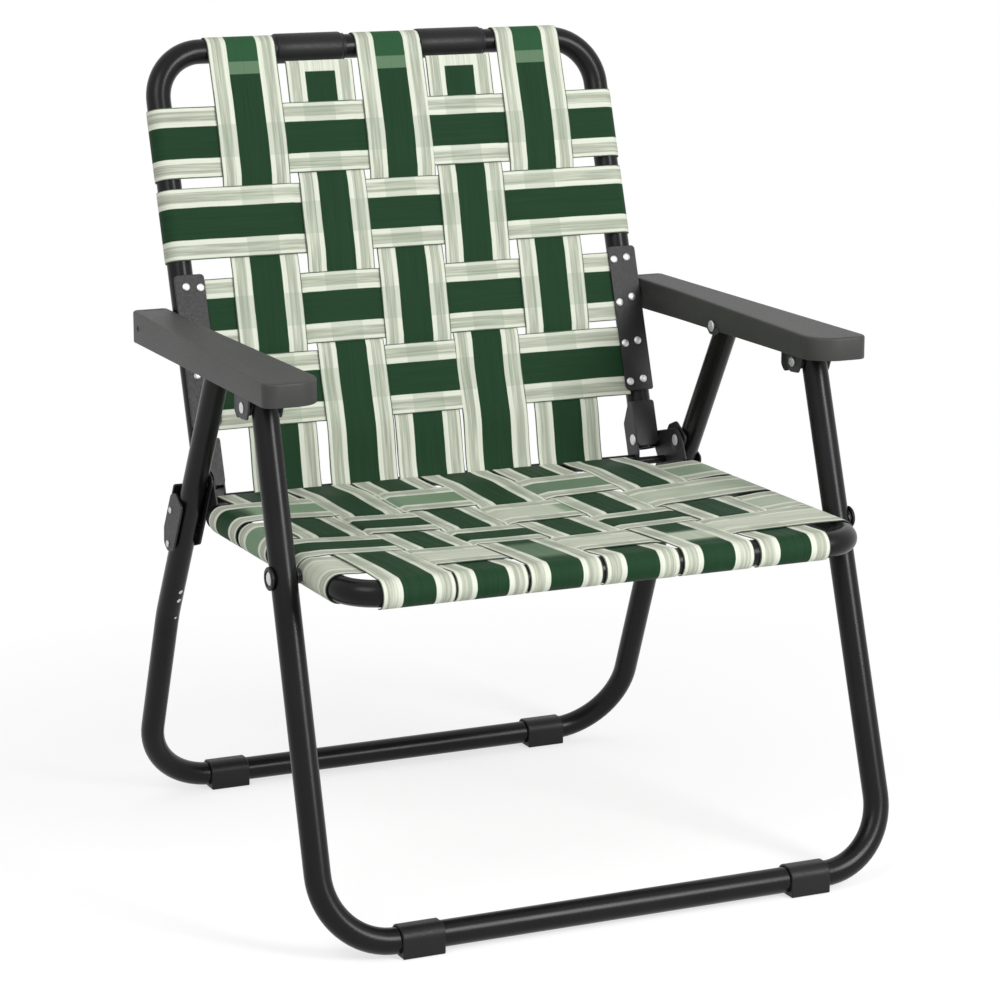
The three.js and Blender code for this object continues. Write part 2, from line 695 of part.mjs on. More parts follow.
const seatRearBracket = cut(
  join(
    sidePlate(seatPlateOutline, plateInnerX, plateInnerX + PLATE),
    sidePlate(bracketBlock, seatRailInnerX, plateInnerX + PLATE),
  ),
  crossRod(seatRailInnerX, saddleInnerX, saddlePivotY, saddlePivotZ, HINGE_PIN_RADIUS + GAP),
  crossRod(seatRailInnerX, saddleInnerX, backHingeY, backHingeZ, HINGE_PIN_RADIUS + GAP),
);
addPair('seat_rear_bracket', seatRearBracket, plateMaterial);

// Seat rear rod: the far end of the lengthwise seat straps
addPiece('seat_rear_rod', crossRod(
  -plateInnerX + GAP,
  plateInnerX - GAP,
  seatRodY,
  seatRodZ,
  rodRadius,
), frameMaterial);

// Pins that the seat carries: the back hinge and the saddle pivot
addPair('back_hinge_pin', rivet(
  BACK_HALF_WIDTH - tubeRadius - PLATE - GAP,
  plateInnerX + PLATE - GAP,
  backHingeY,
  backHingeZ,
  HINGE_PIN_RADIUS,
  { radius: HEAD_RADIUS, height: HEAD_HEIGHT },
  { radius: HINGE_PIN_RADIUS + GAP / 2, height: GAP },
), rivetMaterial);
addPair('saddle_pin', rivet(
  plateInnerX - GAP - THIN_HEAD_HEIGHT,
  saddleInnerX + PLATE - GAP,
  saddlePivotY,
  saddlePivotZ,
  HINGE_PIN_RADIUS,
  { radius: HEAD_RADIUS, height: THIN_HEAD_HEIGHT },
  { radius: HINGE_PIN_RADIUS + GAP / 2, height: GAP },
), rivetMaterial);

// Back frame
const backCorners = [
  backPoint(-BACK_HALF_WIDTH, -BACK_FOOT, 0),
  backPoint(-BACK_HALF_WIDTH, BACK_TOP, 0),
  backPoint(BACK_HALF_WIDTH, BACK_TOP, 0),
  backPoint(BACK_HALF_WIDTH, -BACK_FOOT, 0),
];
const uprightInnerX = BACK_HALF_WIDTH - tubeRadius;
const uprightReach = BACK_HALF_WIDTH + tubeRadius + OVERRUN;
const hingeBore = HINGE_PIN_RADIUS + GAP;
const backFrame = cut(
  bentTube(backCorners, [0, BACK_BEND_RADIUS, BACK_BEND_RADIUS, 0], tubeRadius),
  ...boredBothSides(uprightInnerX - OVERRUN, uprightReach, backHingeY, backHingeZ, hingeBore),
  ...boredBothSides(BACK_HALF_WIDTH, uprightReach, ARM_BACK_PIVOT_Y, armBackPivotZ, PIN_RADIUS + GAP),
);
addPiece('back_frame', backFrame, frameMaterial);

// Boxes that lie square in the tilted frame of the back
function backBox(x0, x1, up0, up1, front0, front1) {
  const geometry = new THREE.BoxGeometry(x1 - x0, up1 - up0, front1 - front0);
  const matrix = new THREE.Matrix4().makeBasis(new THREE.Vector3(1, 0, 0), backUp, backFront);
  geometry.translate((x0 + x1) / 2, (up0 + up1) / 2, (front0 + front1) / 2);
  return geometry.applyMatrix4(matrix.setPosition(backOrigin));
}

// Side plates: long flat plates on the front of the uprights that hold the lower bands' ends
const sidePlateOuterX = BACK_HALF_WIDTH + tubeRadius;
const sidePlateInnerX = sidePlateOuterX - SIDE_PLATE_WIDTH;
const sidePlateFront = tubeRadius + GAP;
addPair('back_side_plate', backBox(
  sidePlateInnerX,
  sidePlateOuterX,
  SIDE_PLATE_LOW,
  SIDE_PLATE_HIGH,
  sidePlateFront,
  sidePlateFront + SIDE_PLATE_THICKNESS,
), plateMaterial);

// Lower brackets: an ear inside each upright's foot that carries the lower rod
const earInnerX = uprightInnerX - GAP - PLATE;
const earLow = -BACK_ROD_DROP - EAR_BELOW_ROD;
const footFront = tubeRadius + GAP;
const footPlateLow = FOOT_STEP - BACK_FOOT;
const footPlateOuterX = sidePlateOuterX - PLATE;
const lowerBracket = cut(
  join(
    backBox(earInnerX, earInnerX + PLATE, earLow, 0, -tubeRadius, footFront),
    backBox(earInnerX, footPlateOuterX, footPlateLow, LOWER_BRACKET_TOP, footFront, footFront + PLATE),
    backBox(earInnerX, earInnerX + PLATE, -BACK_FOOT, LOWER_BRACKET_TOP, 0, footFront + PLATE),
  ),
  crossRod(0, sidePlateOuterX, backHingeY, backHingeZ, HINGE_PIN_RADIUS + GAP),
);
addPair('back_lower_bracket', lowerBracket, plateMaterial);
const backRodCentre = backPoint(0, -BACK_ROD_DROP, 0);
addPiece('back_lower_rod', crossRod(
  -earInnerX + GAP,
  earInnerX - GAP,
  backRodCentre.y,
  backRodCentre.z,
  rodRadius,
), frameMaterial);

// Grips: soft sleeves on the top bar between the straps that wrap over it
const gripCentre = backPoint(0, BACK_TOP, 0);
const gripBore = tubeRadius + GAP;
const gripRadius = gripBore + GRIP_WALL;
const gripStart = backStrapPitch - gripLength / 2;
const gripEnd = gripStart + gripLength;
const gripSleeve = cut(
  crossRod(gripStart, gripEnd, gripCentre.y, gripCentre.z, gripRadius, TUBE_SIDES),
  crossRod(0, gripEnd + OVERRUN, gripCentre.y, gripCentre.z, gripBore, TUBE_SIDES),
);
addPair('top_grip', gripSleeve, capMaterial);

// Back webbing, upright straps; the weave's level is measured in front of the frame's plane
const backStrapPlaces = spread(BACK_STRAP_COUNT, backStrapPitch);
const bandHalf = backBandWidth / 2;
const rodWrap = rodRadius / Math.cos(Math.PI / PIN_SIDES) + strapLevel;
const barWrap = tubeRadius / Math.cos(Math.PI / TUBE_SIDES) + strapLevel;

const lowerWrap = wrapArc(-BACK_ROD_DROP, 0, rodWrap, LOWER_ROD_WRAP_START, LOWER_ROD_WRAP_END);

backStrapPlaces.forEach((x, index) => {
  const wrapsBar = index % 2 === 0;
  const levels = weavePath(weaveLevel, backBandPlaces, bandHalf, index % 2 === 0);
  const path = [];
  if (wrapsBar) {
    path.push(...wrapArc(BACK_TOP, 0, barWrap, TOP_WRAP_START, TOP));
  } else {
    path.push(new THREE.Vector2(BACK_TOP - gripRadius, weaveLevel));
  }
  path.push(...levels);
  path.push(...lowerWrap);
  const geometry = strap(path, backStrapWidth, backOrigin.clone().setX(x), backUp, backFront);
  addPiece(`back_strap_${index + 1}`, geometry, strapMaterial);
});

// Back webbing, cross bands: the upper two wrap round the uprights, the lower two end under
// the side plates
const strapHalf = backStrapWidth / 2;
const acrossX = new THREE.Vector3(1, 0, 0);

backBandPlaces.forEach((place, index) => {
  const levels = weavePath(weaveLevel, backStrapPlaces, strapHalf, index % 2 === 1);
  let path = [];
  if (index < WRAPPED_BAND_COUNT) {
    const arc = wrapArc(BACK_HALF_WIDTH, 0, barWrap, TOP, BAND_WRAP_END);
    const mirrored = arc.map((point) => new THREE.Vector2(-point.x, point.y)).reverse();
    path = [...mirrored, ...levels, ...arc];
  } else {
    const tuckLevel = tubeRadius - STRAP_THICKNESS / 2;
    const tuckStart = sidePlateInnerX - GAP;
    const tuckEnd = uprightInnerX - GAP;
    path = [
      new THREE.Vector2(-tuckEnd, tuckLevel),
      new THREE.Vector2(-tuckStart, tuckLevel),
      ...levels,
      new THREE.Vector2(tuckStart, tuckLevel),
      new THREE.Vector2(tuckEnd, tuckLevel),
    ];
  }
  const origin = backOrigin.clone().addScaledVector(backUp, place);
  const geometry = strap(path, backBandWidth, origin, acrossX, backFront);
  addPiece(`back_band_${index + 1}`, geometry, strapMaterial);
});

// Seat webbing, lengthwise straps from the front bar to the rear rod
const seatStrapHalf = seatStrapWidth / 2;
const seatBandHalf = seatBandWidth / 2;
const forwardY = new THREE.Vector3(0, 1, 0);
const upZ = new THREE.Vector3(0, 0, 1);
const seatOrigin = new THREE.Vector3(0, 0, SEAT_AXIS_Z);

seatStrapPlaces.forEach((x, index) => {
  const levels = weavePath(weaveLevel, seatBandPlaces, seatBandHalf, index % 2 === 0);
  const path = [
    ...wrapArc(SEAT_FRONT_Y, 0, barWrap, FRONT_WRAP_START, TOP),
    ...levels,
    ...wrapArc(seatRodY, seatRodZ - SEAT_AXIS_Z, rodWrap, TOP, ROD_WRAP_END),
  ];
  const geometry = strap(path, seatStrapWidth, seatOrigin.clone().setX(x), forwardY, upZ);
  addPiece(`seat_strap_${index + 1}`, geometry, strapMaterial);
});

// Seat webbing, cross bands wrapped round both rails; the foremost is pierced by the seat pivots
const pivotBores = boredBothSides(
  seatHalfWidth,
  seatPivotLegX,
  seatPivotY,
  SEAT_AXIS_Z,
  SEAT_PIN_RADIUS + GAP,
);
seatBandPlaces.forEach((place, index) => {
  const levels = weavePath(weaveLevel, seatStrapPlaces, seatStrapHalf, index % 2 === 1);
  const arc = wrapArc(seatHalfWidth, 0, barWrap, TOP, BAND_WRAP_END);
  const mirrored = arc.map((point) => new THREE.Vector2(-point.x, point.y)).reverse();
  const path = [...mirrored, ...levels, ...arc];
  const band = strap(path, seatBandWidth, seatOrigin.clone().setY(place), acrossX, upZ);
  addPiece(`seat_band_${index + 1}`, index === 0 ? cut(band, ...pivotBores) : band, strapMaterial);
});

// Armrests: an outline seen from above, kept between the slopes of its underside and top
function roundedOutline(corners, radii) {
  const middle = corners[0].clone().add(corners[corners.length - 1]).divideScalar(2);
  const route = roundedRoute([middle, ...corners, middle], [0, ...radii, 0]);
  return new THREE.Shape(route.slice(0, -1).map((point) => new THREE.Vector2(point.x, point.y)));
}

function armSolid(inset, under, top) {
  const outline = roundedOutline([
    new THREE.Vector3(armRearInnerX + inset, armRearY - inset, 0),
    new THREE.Vector3(armRearInnerX + inset, armStraightY, 0),
    new THREE.Vector3(armFrontInnerX + inset, armFrontY + inset, 0),
    new THREE.Vector3(armFrontOuterX - inset, armFrontY + inset, 0),
    new THREE.Vector3(armRearOuterX - inset, armRearY - inset, 0),
  ], [
    ARM_REAR_CORNER - inset,
    ARM_STRAIGHT_LENGTH,
    ARM_INNER_CORNER - inset,
    ARM_OUTER_CORNER - inset,
    ARM_REAR_CORNER - inset,
  ]);
  const slope = new THREE.Shape([
    new THREE.Vector2(armFrontY, armFrontBottomZ - under),
    new THREE.Vector2(armRearY, ARM_BOTTOM_Z - under),
    new THREE.Vector2(armRearY, ARM_BOTTOM_Z + ARM_REAR_HEIGHT - top),
    new THREE.Vector2(armFrontY, armFrontBottomZ + ARM_FRONT_HEIGHT - top),
  ]);
  const lowest = ARM_BOTTOM_Z - OVERRUN;
  const column = new THREE.ExtrudeGeometry(outline, {
    depth: ARM_REAR_HEIGHT + 2 * OVERRUN,
    bevelEnabled: false,
  });
  const between = sidePlate(slope, armFrontInnerX, armFrontOuterX);
  const solid = toSolid(column.translate(0, 0, lowest)).intersect(toSolid(between));
  return toGeometry(solid);
}

// A lug that hangs from the top wall, round at its lower end
function armLug(x0, x1, y, z, width) {
  const roof = ARM_BOTTOM_Z + ARM_REAR_HEIGHT - ARM_TOP_WALL;
  const shape = new THREE.Shape();
  shape.moveTo(y - width / 2, roof);
  shape.lineTo(y - LUG_RADIUS, z);
  shape.absarc(y, z, LUG_RADIUS, Math.PI, 2 * Math.PI, false);
  shape.lineTo(y + width / 2, roof);
  shape.closePath();
  return sidePlate(shape, x0, x1);
}

function armInnerFace(y) {
  const share = Math.max(0, (armStraightY - y) / (armStraightY - armFrontY));
  return armRearInnerX - ARM_INNER_TAPER * share;
}

const rearLegWallX = armInnerFace(ARM_REAR_LEG_PIVOT_Y);
const lugInnerX = earInnerFace - GAP;
const lugOuterX = earOuterFace + GAP;
const armrest = cut(
  join(
    cut(armSolid(0, 0, 0), armSolid(ARM_WALL, OVERRUN, ARM_TOP_WALL)),
    armLug(lugInnerX - LUG_WALL, lugInnerX, ARM_FRONT_PIVOT_Y, armFrontPivotZ, LUG_WIDTH),
    armLug(lugOuterX, lugOuterX + LUG_WALL, ARM_FRONT_PIVOT_Y, armFrontPivotZ, LUG_WIDTH),
    armLug(rearLegWallX, rearLegWallX + LUG_WALL, ARM_REAR_LEG_PIVOT_Y, armRearLegPivotZ, LUG_WIDTH),
  ),
  crossRod(
    lugInnerX - LUG_WALL - GAP,
    lugOuterX + LUG_WALL + GAP,
    ARM_FRONT_PIVOT_Y,
    armFrontPivotZ,
    PIN_RADIUS + GAP,
  ),
  crossRod(
    armFrontInnerX,
    rearHalfWidth,
    ARM_REAR_LEG_PIVOT_Y,
    armRearLegPivotZ,
    PIN_RADIUS + GAP,
  ),
  crossRod(armFrontInnerX, rearHalfWidth, ARM_BACK_PIVOT_Y, armBackPivotZ, PIN_RADIUS + GAP),
);
addPair('armrest', armrest, plasticMaterial);

// Pins that the armrests carry
const flatHead = { radius: HEAD_RADIUS, height: THIN_HEAD_HEIGHT };
const roundHead = { radius: HEAD_RADIUS, height: HEAD_HEIGHT };
const blindEnd = { radius: PIN_RADIUS + GAP / 2, height: GAP };
addPair('arm_front_pin', rivet(
  lugInnerX - LUG_WALL - GAP,
  lugOuterX + LUG_WALL + GAP,
  ARM_FRONT_PIVOT_Y,
  armFrontPivotZ,
  PIN_RADIUS,
  roundHead,
  flatHead,
), rivetMaterial);
addPair('arm_rear_leg_pin', rivet(
  rearLegWallX - GAP,
  rearHalfWidth + rearRadius + GAP,
  ARM_REAR_LEG_PIVOT_Y,
  armRearLegPivotZ,
  PIN_RADIUS,
  roundHead,
  flatHead,
), rivetMaterial);
addPair('arm_back_pin', rivet(
  BACK_HALF_WIDTH + tubeRadius - BACK_PIN_DEPTH,
  armRearInnerX + ARM_WALL + GAP,
  ARM_BACK_PIVOT_Y,
  armBackPivotZ,
  PIN_RADIUS,
  blindEnd,
  roundHead,
), rivetMaterial);

// Rear leg frame: straight from the arm pivot past the saddle's travel, then bent a little
const rearPivot = new THREE.Vector2(ARM_REAR_LEG_PIVOT_Y, armRearLegPivotZ);
const rearDown = new THREE.Vector2(saddlePivotY, saddlePivotZ).sub(rearPivot).normalize();

function rearPoint(x, distance) {
  const place = rearPivot.clone().addScaledVector(rearDown, distance);
  return new THREE.Vector3(x, place.x, place.y);
}

const rearCorners = [
  rearPoint(-rearHalfWidth, -REAR_TOP_OVERRUN),
  rearPoint(-rearHalfWidth, REAR_KINK_DISTANCE),
  new THREE.Vector3(-rearHalfWidth, REAR_BAR_Y, barZ),
  new THREE.Vector3(rearHalfWidth, REAR_BAR_Y, barZ),
  rearPoint(rearHalfWidth, REAR_KINK_DISTANCE),
  rearPoint(rearHalfWidth, -REAR_TOP_OVERRUN),
];
const rearRadii = [0, REAR_KINK_RADIUS, REAR_BEND_RADIUS, REAR_BEND_RADIUS, REAR_KINK_RADIUS, 0];
const rearLegFrame = cut(
  bentTube(rearCorners, rearRadii, rearRadius),
  ...boredBothSides(
    rearHalfWidth - rearRadius - OVERRUN,
    rearHalfWidth + rearRadius + OVERRUN,
    ARM_REAR_LEG_PIVOT_Y,
    armRearLegPivotZ,
    PIN_RADIUS + GAP,
  ),
);
addPiece('rear_leg_frame', rearLegFrame, frameMaterial);
addPair('rear_foot_cap', footCap(
  rearHalfWidth - REAR_CAP_INSET,
  REAR_BAR_Y,
  roundedRoute(rearCorners, rearRadii),
  rearRadius,
  REAR_CAP_LENGTH,
), capMaterial);

// Saddles: forked plates that ride on the rear legs, bridged behind the tube
const saddlePivot = new THREE.Vector2(saddlePivotY, saddlePivotZ);
const rearBehind = new THREE.Vector2(-rearDown.y, rearDown.x);

function saddlePoint(along, behind) {
  return saddlePivot.clone().addScaledVector(rearDown, along).addScaledVector(rearBehind, behind);
}

const bridgeNear = rearRadius + SADDLE_REAR_GAP;
const bridgeFar = bridgeNear + SADDLE_BRIDGE;

function saddleFlange(start) {
  return new THREE.Shape([
    saddlePoint(start, -SADDLE_FRONT),
    saddlePoint(start, bridgeNear),
    saddlePoint(start + SADDLE_CORNER, SADDLE_BACK),
    saddlePoint(SADDLE_END - SADDLE_CORNER, SADDLE_BACK),
    saddlePoint(SADDLE_END, bridgeNear),
    saddlePoint(SADDLE_END, 0),
    saddlePoint(SADDLE_END - SADDLE_CORNER, -SADDLE_FRONT),
  ]);
}

const saddleBridge = new THREE.Shape([
  saddlePoint(SADDLE_OUTER_START, bridgeNear),
  saddlePoint(SADDLE_END - SADDLE_CORNER, bridgeNear),
  saddlePoint(SADDLE_END - SADDLE_CORNER, bridgeFar),
  saddlePoint(SADDLE_OUTER_START, bridgeFar),
]);
const saddle = cut(
  join(
    sidePlate(saddleFlange(-SADDLE_INNER_START), saddleInnerX, saddleInnerX + PLATE),
    sidePlate(saddleFlange(SADDLE_OUTER_START), saddleOuterX, saddleOuterX + PLATE),
    sidePlate(saddleBridge, saddleInnerX, saddleOuterX + PLATE),
  ),
  crossRod(plateInnerX, rearHalfWidth, saddlePivotY, saddlePivotZ, HINGE_PIN_RADIUS + GAP),
);
addPair('rear_leg_saddle', saddle, plateMaterial);

// The origin is under the middle of the chair's overall box, on the floor
const middle = new THREE.Box3().setFromObject(chair, true).getCenter(new THREE.Vector3());
chair.position.set(-middle.x, -middle.y, 0);

export default chair;
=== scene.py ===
import math

import bmesh
import bpy
import numpy as np
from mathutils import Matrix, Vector


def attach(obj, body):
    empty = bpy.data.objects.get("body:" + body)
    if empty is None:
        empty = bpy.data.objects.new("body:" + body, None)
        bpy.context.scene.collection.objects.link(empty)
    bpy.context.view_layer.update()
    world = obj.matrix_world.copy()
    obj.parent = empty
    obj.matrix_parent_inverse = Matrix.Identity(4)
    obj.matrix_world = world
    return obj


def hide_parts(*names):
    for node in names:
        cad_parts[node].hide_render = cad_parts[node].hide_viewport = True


# A folding webbed lawn chair. Lengths below are millimetres in the chair's own side view, where
# y = 0 is the front floor bar; at() moves them into the shared frame, in metres.

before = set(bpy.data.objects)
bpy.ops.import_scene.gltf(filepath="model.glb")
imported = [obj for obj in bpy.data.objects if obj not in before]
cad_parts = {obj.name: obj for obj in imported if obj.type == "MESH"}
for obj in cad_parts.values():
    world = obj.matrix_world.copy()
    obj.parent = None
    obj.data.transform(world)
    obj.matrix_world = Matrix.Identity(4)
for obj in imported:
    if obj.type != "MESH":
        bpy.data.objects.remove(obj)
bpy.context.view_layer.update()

MM_PER_METRE = 1000
SHIFT_Y = -283.984271
X_AXIS = np.array((1.0, 0.0, 0.0))
Y_AXIS = np.array((0.0, 1.0, 0.0))
Z_AXIS = np.array((0.0, 0.0, 1.0))

# Tubes and rods, and where their axes run, as in the solids
TUBE = 12.5
REAR_TUBE = 12.0
ROD = 4.0
BAR_Z = 14.5
FRONT_X, FRONT_TOP_X = 293.0, 288.0
FRONT_TOP_Z, FRONT_RUN = 493.0, 148.8
REAR_X, REAR_BAR_Y = 275.2, 556.0
REAR_TOP, REAR_KNEE = -11, 330
BACK_X, BACK_FOOT, BACK_TOP = 245.5, -30, 416.0
SEAT_X, SEAT_Z = 259.4, 339.0
SEAT_FRONT_Y, SEAT_END_Y = 8.0, 360.0
SEAT_ROD, SEAT_ROD_HALF = (405.0, 344.0), 257.5
BACK_ROD, BACK_ROD_HALF = -39, 231

# Bend radii
FRONT_BEND, SEAT_BEND, BACK_BEND = 68, 38, 50
REAR_KNEE_BEND, REAR_BEND = 150, 75

# Pivots as (y, z): A armrest and back, B armrest and rear leg, C armrest and front leg,
# D front leg and seat, E seat and saddle, F seat and back
PIVOT_A = (484.5, 510.7)
PIVOT_B = (303.0, 501.5)
PIVOT_C = (161.0, 487.0)
PIVOT_D = (102.194, 339.0)
PIVOT_E = (382.0, 368.5)
PIVOT_F = (425.694, 362.7)

# The leaning back has directions of its own
TILT = math.radians(18.25)
BACK_ORIGIN = np.array((0.0, 436.99, 380.034))
BACK_UP = np.array((0.0, math.sin(TILT), math.cos(TILT)))
BACK_FRONT = np.array((0.0, -math.cos(TILT), math.sin(TILT)))


def at(p):
    """Millimetres in the chair's side view to metres in the shared frame."""
    p = np.asarray(p, float).reshape(-1, 3)
    return (p + np.array((0.0, SHIFT_Y, 0.0))) / MM_PER_METRE


def back_point(x, up, front):
    return BACK_ORIGIN + BACK_UP * up + BACK_FRONT * front + X_AXIS * x


# Materials


def material(name, specular=0.5):
    m = bpy.data.materials.new(name)
    m.use_nodes = True
    nodes = m.node_tree.nodes
    bsdf = nodes["Principled BSDF"]
    bsdf.inputs["Specular IOR Level"].default_value = specular
    return m, nodes, m.node_tree.links, bsdf


def node(nodes, kind, **values):
    n = nodes.new(kind)
    for key, value in values.items():
        if key.startswith("in_"):
            n.inputs[key[3:].replace("_", " ")].default_value = value
        else:
            setattr(n, key, value)
    return n


def rgba(colour):
    """A colour with full cover. A number is a grey."""
    return (*colour, 1) if isinstance(colour, tuple) else (colour, colour, colour, 1)


def ramp(nodes, links, source, stops):
    """The colour that a value gets between (place, colour) stops."""
    n = nodes.new("ShaderNodeValToRGB")
    elements = n.color_ramp.elements
    elements.remove(elements[-1])
    elements[0].position = stops[0][0]
    elements[0].color = rgba(stops[0][1])
    for place, colour in stops[1:]:
        elements.new(place).color = rgba(colour)
    links.new(source, n.inputs["Fac"])
    return n.outputs["Color"]


def share(nodes, links, source, low, high):
    """A value as a share from 0 at low to 1 at high."""
    n = node(nodes, "ShaderNodeMapRange", clamp=True, in_From_Min=low, in_From_Max=high)
    links.new(source, n.inputs["Value"])
    return n.outputs["Result"]


def bump(nodes, links, height, strength, depth, target):
    """A bump of a depth in metres. Its own normal input is given back, for a second one."""
    n = node(nodes, "ShaderNodeBump", in_Strength=strength, in_Distance=depth)
    links.new(height, n.inputs["Height"])
    links.new(n.outputs["Normal"], target)
    return n.inputs["Normal"]


def object_texture(nodes, links, scale, detail):
    """Noise in the piece's own space."""
    n = node(nodes, "ShaderNodeTexNoise", in_Scale=scale, in_Detail=detail)
    links.new(node(nodes, "ShaderNodeTexCoord").outputs["Object"], n.inputs["Vector"])
    return n.outputs["Fac"]


def coated_steel():
    """Satin black powder coat: faint orange peel and a little variation in sheen."""
    m, nodes, links, bsdf = material("black_coat", 0.19)
    peel = object_texture(nodes, links, 900.0, 3.0)
    patch = object_texture(nodes, links, 14.0, 4.0)
    blacks = [(0.35, (0.0045, 0.0045, 0.0046)), (0.7, (0.007, 0.007, 0.0071))]
    links.new(ramp(nodes, links, patch, blacks), bsdf.inputs["Base Color"])
    links.new(ramp(nodes, links, patch, [(0.3, 0.26), (0.75, 0.32)]), bsdf.inputs["Roughness"])
    bump(nodes, links, peel, 0.12, 0.0002, bsdf.inputs["Normal"])
    return m


def dark_plate():
    """Stamped black plates: duller than the tubes, with lightly worn edges."""
    m, nodes, links, bsdf = material("black_plate", 0.3)
    grain = object_texture(nodes, links, 420.0, 5.0)
    wear = object_texture(nodes, links, 60.0, 6.0)
    geometry = node(nodes, "ShaderNodeNewGeometry")
    edge = ramp(nodes, links, geometry.outputs["Pointiness"], [(0.53, 0.0), (0.62, 1.0)])
    worn = node(nodes, "ShaderNodeMath", operation="MULTIPLY")
    links.new(edge, worn.inputs[0])
    links.new(wear, worn.inputs[1])
    black, bare = rgba((0.0095, 0.0095, 0.0098)), rgba((0.045, 0.045, 0.046))
    mix = node(nodes, "ShaderNodeMix", data_type="RGBA", in_A=black, in_B=bare)
    links.new(worn.outputs[0], mix.inputs["Factor"])
    links.new(mix.outputs["Result"], bsdf.inputs["Base Color"])
    links.new(ramp(nodes, links, grain, [(0.3, 0.4), (0.7, 0.52)]), bsdf.inputs["Roughness"])
    bump(nodes, links, grain, 0.15, 0.0003, bsdf.inputs["Normal"])
    return m


def moulded_plastic(name, colours, roughness, grain_scale, strength, specular):
    """Moulded plastic with a fine spark-eroded grain and slow shade changes."""
    m, nodes, links, bsdf = material(name, specular)
    grain = node(nodes, "ShaderNodeTexVoronoi", in_Scale=grain_scale)
    links.new(node(nodes, "ShaderNodeTexCoord").outputs["Object"], grain.inputs["Vector"])
    fine = object_texture(nodes, links, grain_scale * 0.7, 4.0)
    slow = object_texture(nodes, links, 9.0, 3.0)
    shade = ramp(nodes, links, slow, list(zip((0.35, 0.65), colours)))
    links.new(shade, bsdf.inputs["Base Color"])
    rough = ramp(nodes, links, fine, list(zip((0.3, 0.7), roughness)))
    links.new(rough, bsdf.inputs["Roughness"])
    below = bump(nodes, links, fine, strength, 0.0002, bsdf.inputs["Normal"])
    bump(nodes, links, grain.outputs["Distance"], strength, 0.00025, below)
    return m


def bright_rivet():
    """Set aluminium rivets: dull bright metal with small dents."""
    m, nodes, links, bsdf = material("rivet_metal")
    dents = object_texture(nodes, links, 650.0, 3.0)
    smear = object_texture(nodes, links, 180.0, 5.0)
    links.new(ramp(nodes, links, smear, [(0.3, 0.55), (0.7, 0.78)]), bsdf.inputs["Base Color"])
    bsdf.inputs["Metallic"].default_value = 0.75
    links.new(ramp(nodes, links, smear, [(0.3, 0.36), (0.7, 0.52)]), bsdf.inputs["Roughness"])
    bump(nodes, links, dents, 0.3, 0.0003, bsdf.inputs["Normal"])
    return m


GREEN = (0.011, 0.044, 0.0172)
GREEN_DEEP = (0.0075, 0.0355, 0.0127)
# A lighter green, painted highlight where a strap is doubled at the top bar
GREEN_PAINTED_HIGHLIGHT = (0.02, 0.079, 0.031)
GREEN_FADED = (0.2, 0.3, 0.19)
# A darker green, painted shade in the crease along the strap's middle
GREEN_FOLD_SHADE = (0.004, 0.02, 0.008)
# A darker green, painted shade along each strap's edges
GREEN_EDGE_SHADE = (0.03, 0.055, 0.035)
CREAM = (0.70, 0.735, 0.625)
CREAM_DIM = (0.62, 0.65, 0.54)
STONE = (0.47, 0.50, 0.405)
STONE_DARK = (0.31, 0.34, 0.27)
STRIPE_SHADOW = (0.20, 0.26, 0.19)

# Stripes as (share of the width from the middle line, amount): the pale bands, the cream in
# them with stone between, the painted shade in the middle fold and the painted shade along the edges
PALE_BAND = [(0.0, 0.0), (0.222, 0.0), (0.228, 1.0)]
CREAM_IN_BAND = [(0.0, 1.0), (0.292, 1.0), (0.302, 0.0), (0.436, 0.0), (0.446, 1.0)]
FOLD_SHADE_LINE = [(0.0, 0.22), (0.006, 0.0)]
EDGE_SHADE_STRIPE = [(0.0, 0.0), (0.484, 0.0), (0.489, 0.92)]
STRIPE_WOBBLE = 0.018
SHADOW_AMOUNT = 0.24

# Threads over the width and over each metre of length
RIBS, PICKS = 62, 900


